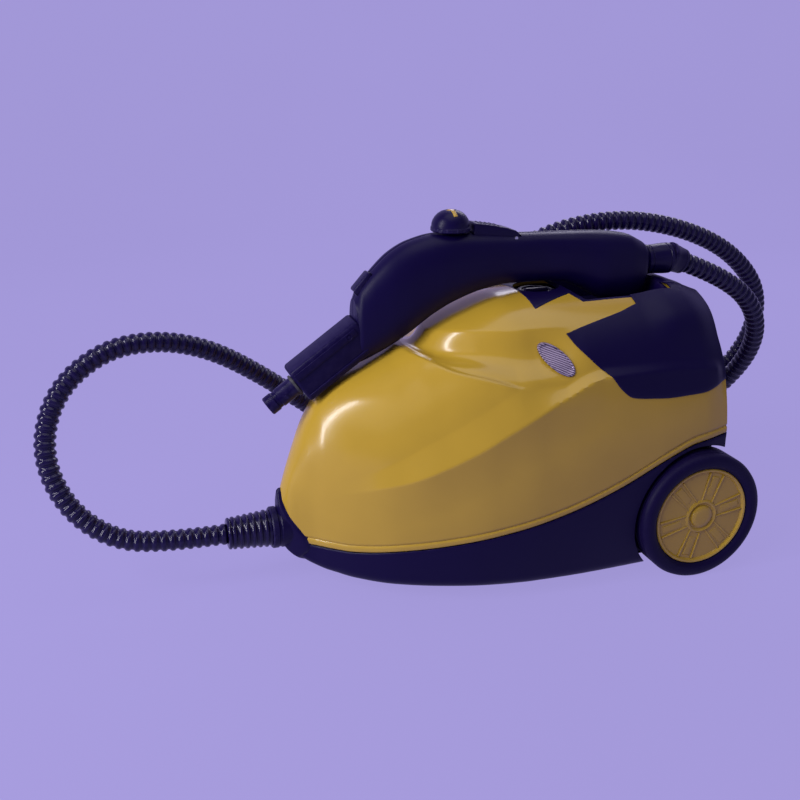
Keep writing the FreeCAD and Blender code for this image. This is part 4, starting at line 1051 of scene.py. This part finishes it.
# The hose's route from its cuff at the nose to the gun's collar, in metres.
HOSE_ROUTE = [
    (-0.255, 0, 0.051), (-0.306, 0.001, 0.051), (-0.352, 0.009, 0.056), (-0.389, 0.023, 0.087),
    (-0.404, 0.038, 0.136), (-0.386, 0.054, 0.184), (-0.343, 0.069, 0.212), (-0.294, 0.082, 0.213),
    (-0.247, 0.095, 0.196), (-0.200, 0.109, 0.163), (-0.150, 0.124, 0.120), (-0.096, 0.142, 0.075),
    (-0.034, 0.156, 0.034), (0.034, 0.167, 0.012), (0.108, 0.172, 0.011), (0.182, 0.168, 0.015),
    (0.256, 0.154, 0.036), (0.326, 0.133, 0.076), (0.366, 0.108, 0.138), (0.358, 0.087, 0.204),
    (0.306, 0.075, 0.256), (0.234, 0.070, 0.288), (0.156, 0.070, 0.301), (0.082, 0.084, 0.286),
    (0.026, 0.108, 0.236), (0.004, 0.132, 0.168), (0.018, 0.143, 0.096), (0.072, 0.148, 0.036),
    (0.142, 0.149, 0.011), (0.212, 0.138, 0.017), (0.266, 0.110, 0.050), (0.302, 0.072, 0.100),
    (0.314, 0.034, 0.156), (0.294, 0.008, 0.208), (0.248, 0, 0.248), (0.194, 0, 0.268),
]
RIB_PITCH = 0.0074
RIB_ROOT = 0.0079
# One rib: how far along the pitch, and the radius there, in metres.
RIB = [(0.0, RIB_ROOT), (0.12, 0.0086), (0.2, 0.00925), (0.32, 0.0095), (0.5, 0.0095), (0.62, 0.0092),
       (0.7, 0.0086), (0.82, RIB_ROOT)]


def hose_centreline():
    """The smooth curve through the hose's route, as closely spaced points."""
    data = bpy.data.curves.new("hose_route", "CURVE")
    data.dimensions = "3D"
    spline = data.splines.new("NURBS")
    spline.points.add(len(HOSE_ROUTE) - 1)
    for point, place in zip(spline.points, HOSE_ROUTE):
        point.co = (*place, 1.0)
    spline.order_u = 3
    spline.use_endpoint_u = True
    spline.resolution_u = 24
    guide = bpy.data.objects.new("hose_route", data)
    bpy.context.collection.objects.link(guide)
    bpy.context.view_layer.update()
    mesh = bpy.data.meshes.new_from_object(guide)
    path = np.array([v.co[:] for v in mesh.vertices])
    bpy.data.objects.remove(guide)
    return path


def build_hose():
    """The ribbed hose along its route from the cuff at the nose to the gun's collar."""
    path = hose_centreline()
    steps = np.concatenate([[0], np.cumsum(np.linalg.norm(np.diff(path, axis=0), axis=1))])
    total = steps[-1]
    count = int(total / RIB_PITCH)
    pitch = total / count
    marks = [(0.0, RIB_ROOT)]
    for k in range(count):
        marks += [(pitch * (k + at), radius) for at, radius in RIB if k or at]
    marks.append((total, RIB_ROOT))
    sides = 20
    points = []
    tangent_at = np.gradient(path, axis=0)
    tangent_at /= np.linalg.norm(tangent_at, axis=1, keepdims=True)
    first = tangent_at[0]
    across = np.cross(first, [0, 0, 1.0])
    across /= np.linalg.norm(across)
    for s, radius in marks:
        centre = np.array([np.interp(s, steps, path[:, c]) for c in range(3)])
        tangent = np.array([np.interp(s, steps, tangent_at[:, c]) for c in range(3)])
        tangent /= np.linalg.norm(tangent)
        across = across - tangent * across.dot(tangent)
        across /= np.linalg.norm(across)
        other = np.cross(tangent, across)
        for j in range(sides):
            a = 2 * math.pi * j / sides
            points.append(centre + radius * (across * math.cos(a) + other * math.sin(a)))
    obj = mesh_object("ribbed_hose", np.array(points) / MM, tube_faces(len(marks), sides), 60)
    finish_piece(obj, None, "hose_plastic", ["steam_hose"])
    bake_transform(obj)
    return obj


# ---------------------------------------------------------------- stage

CAMERA_AT = (-0.3601, -0.8035, 0.4683)
CAMERA_AZIMUTH, CAMERA_ELEVATION = 18.5, 20
LAVENDER = (0.375, 0.325, 0.70)
SWEEP_REACH, SWEEP_BEHIND, SWEEP_RADIUS, SWEEP_HEIGHT = 9000.0, 1500.0, 900.0, 4500.0


def look_at(obj, target):
    direction = Vector(target) - obj.location
    obj.rotation_euler = direction.to_track_quat("-Z", "Y").to_euler()


def area_light(name, at, target, size, power, colour):
    data = bpy.data.lights.new(name, "AREA")
    data.shape = "RECTANGLE"
    data.size, data.size_y = size
    data.energy = power
    data.color = colour
    light = bpy.data.objects.new(name, data)
    light.location = at
    bpy.context.collection.objects.link(light)
    look_at(light, target)
    return light


def build_stage():
    """A plain lavender floor swept up into a backdrop, soft boxes and the camera."""
    material, tree, shader, coords = new_material("studio_sweep")
    tint = mixed(tree, ranged(tree, noise(tree, coords, 1.5, 2), 0.3, 0.7, 0, 1), LAVENDER,
                 tuple(c * 0.985 for c in LAVENDER))
    tree.links.new(tint, shader.inputs["Emission Color"])
    shader.inputs["Emission Strength"].default_value = 0.93
    shader.inputs["Roughness"].default_value = 0.9
    shader.inputs["Specular IOR Level"].default_value = 0.0
    base_scale = tree.nodes.new("ShaderNodeVectorMath")
    base_scale.operation = "SCALE"
    base_scale.inputs["Scale"].default_value = 0.09
    tree.links.new(tint, base_scale.inputs[0])
    tree.links.new(base_scale.outputs[0], shader.inputs["Base Color"])
    profile = [(-SWEEP_REACH, 0.0), (SWEEP_BEHIND, 0.0)]
    for k in range(1, 17):
        a = math.pi / 2 * k / 16
        profile.append((SWEEP_BEHIND + SWEEP_RADIUS * math.sin(a), SWEEP_RADIUS * (1 - math.cos(a))))
    profile.append((SWEEP_BEHIND + SWEEP_RADIUS, SWEEP_HEIGHT))
    points = [(x, y, z) for y, z in profile for x in (-SWEEP_REACH, SWEEP_REACH)]
    sweep = mesh_object("studio_sweep", points, grid_faces(len(profile), 2), 60)
    sweep.rotation_euler = (0, 0, math.radians(-CAMERA_AZIMUTH))
    sweep.data.materials.append(material)

    camera_data = bpy.data.cameras.new("camera")
    camera_data.lens = 44.64
    camera_data.sensor_width = 36
    camera = bpy.data.objects.new("camera", camera_data)
    camera.location = CAMERA_AT
    azimuth, elevation = math.radians(CAMERA_AZIMUTH), math.radians(CAMERA_ELEVATION)
    ahead = Vector((math.sin(azimuth) * math.cos(elevation), math.cos(azimuth) * math.cos(elevation),
                    -math.sin(elevation)))
    camera.rotation_euler = ahead.to_track_quat("-Z", "Y").to_euler()
    bpy.context.collection.objects.link(camera)
    bpy.context.scene.camera = camera

    # Each light's place and target in metres, its size, power and colour. The key adds no highlight.
    key = area_light("key_soft_box", (-1.75, -0.85, 1.45), (-0.1, 0, 0.12), (1.2, 1.2), 30,
                     (1.0, 0.97, 0.92))
    key.visible_glossy = False
    area_light("bow_strip_light", (-1.21, -0.19, 0.62), (-0.16, -0.03, 0.16), (0.09, 1.1), 10,
               (0.95, 0.93, 1.0))
    area_light("top_soft_box", (0.1, -0.1, 1.9), (0.05, 0, 0.15), (1.8, 1.4), 9, (0.97, 0.95, 1.0))
    area_light("fill_soft_box", (1.5, -1.5, 0.8), (0.05, 0, 0.15), (1.2, 1.0), 0.8, (0.86, 0.84, 1.0))
    area_light("rim_soft_box", (0.9, 1.3, 1.1), (0.05, 0, 0.2), (0.9, 0.5), 5, (0.92, 0.9, 1.0))

    world = bpy.data.worlds.new("studio")
    bpy.context.scene.world = world
    world.use_nodes = True
    background = world.node_tree.nodes["Background"]
    background.inputs["Color"].default_value = (0.42, 0.38, 0.72, 1)
    background.inputs["Strength"].default_value = 0.30
    bpy.context.scene.view_settings.view_transform = "Standard"


# ---------------------------------------------------------------- assembly

build_stage()
build_upper()
build_base()
build_cover()
build_deck()
build_liners()
build_nose()
build_cuff()
build_badges()
build_wheel(-1)
build_wheel(1)
build_gun_shells()
build_barrel()
build_controls()
build_spring("lever_coil", "lever_spring", (-14, 0, 286), (0, 0, 1), 3.4, 13.4)
build_spring("button_coil", "button_spring", BUTTON - BUTTON_OUT * 14, BUTTON_OUT, 3.0, 7.6)
build_hose_collar()
build_cap()
build_hose()

SLOT_OF = {entry["node"]: entry["material_slot"] for entry in frame["record"]["subparts"]}
for node_name, node_object in frame["nodes"].items():
    for material_slot in node_object.material_slots:
        material_slot.material = MATERIALS[SLOT_OF[node_name]]
    if not node_object.material_slots:
        node_object.data.materials.append(MATERIALS[SLOT_OF[node_name]])
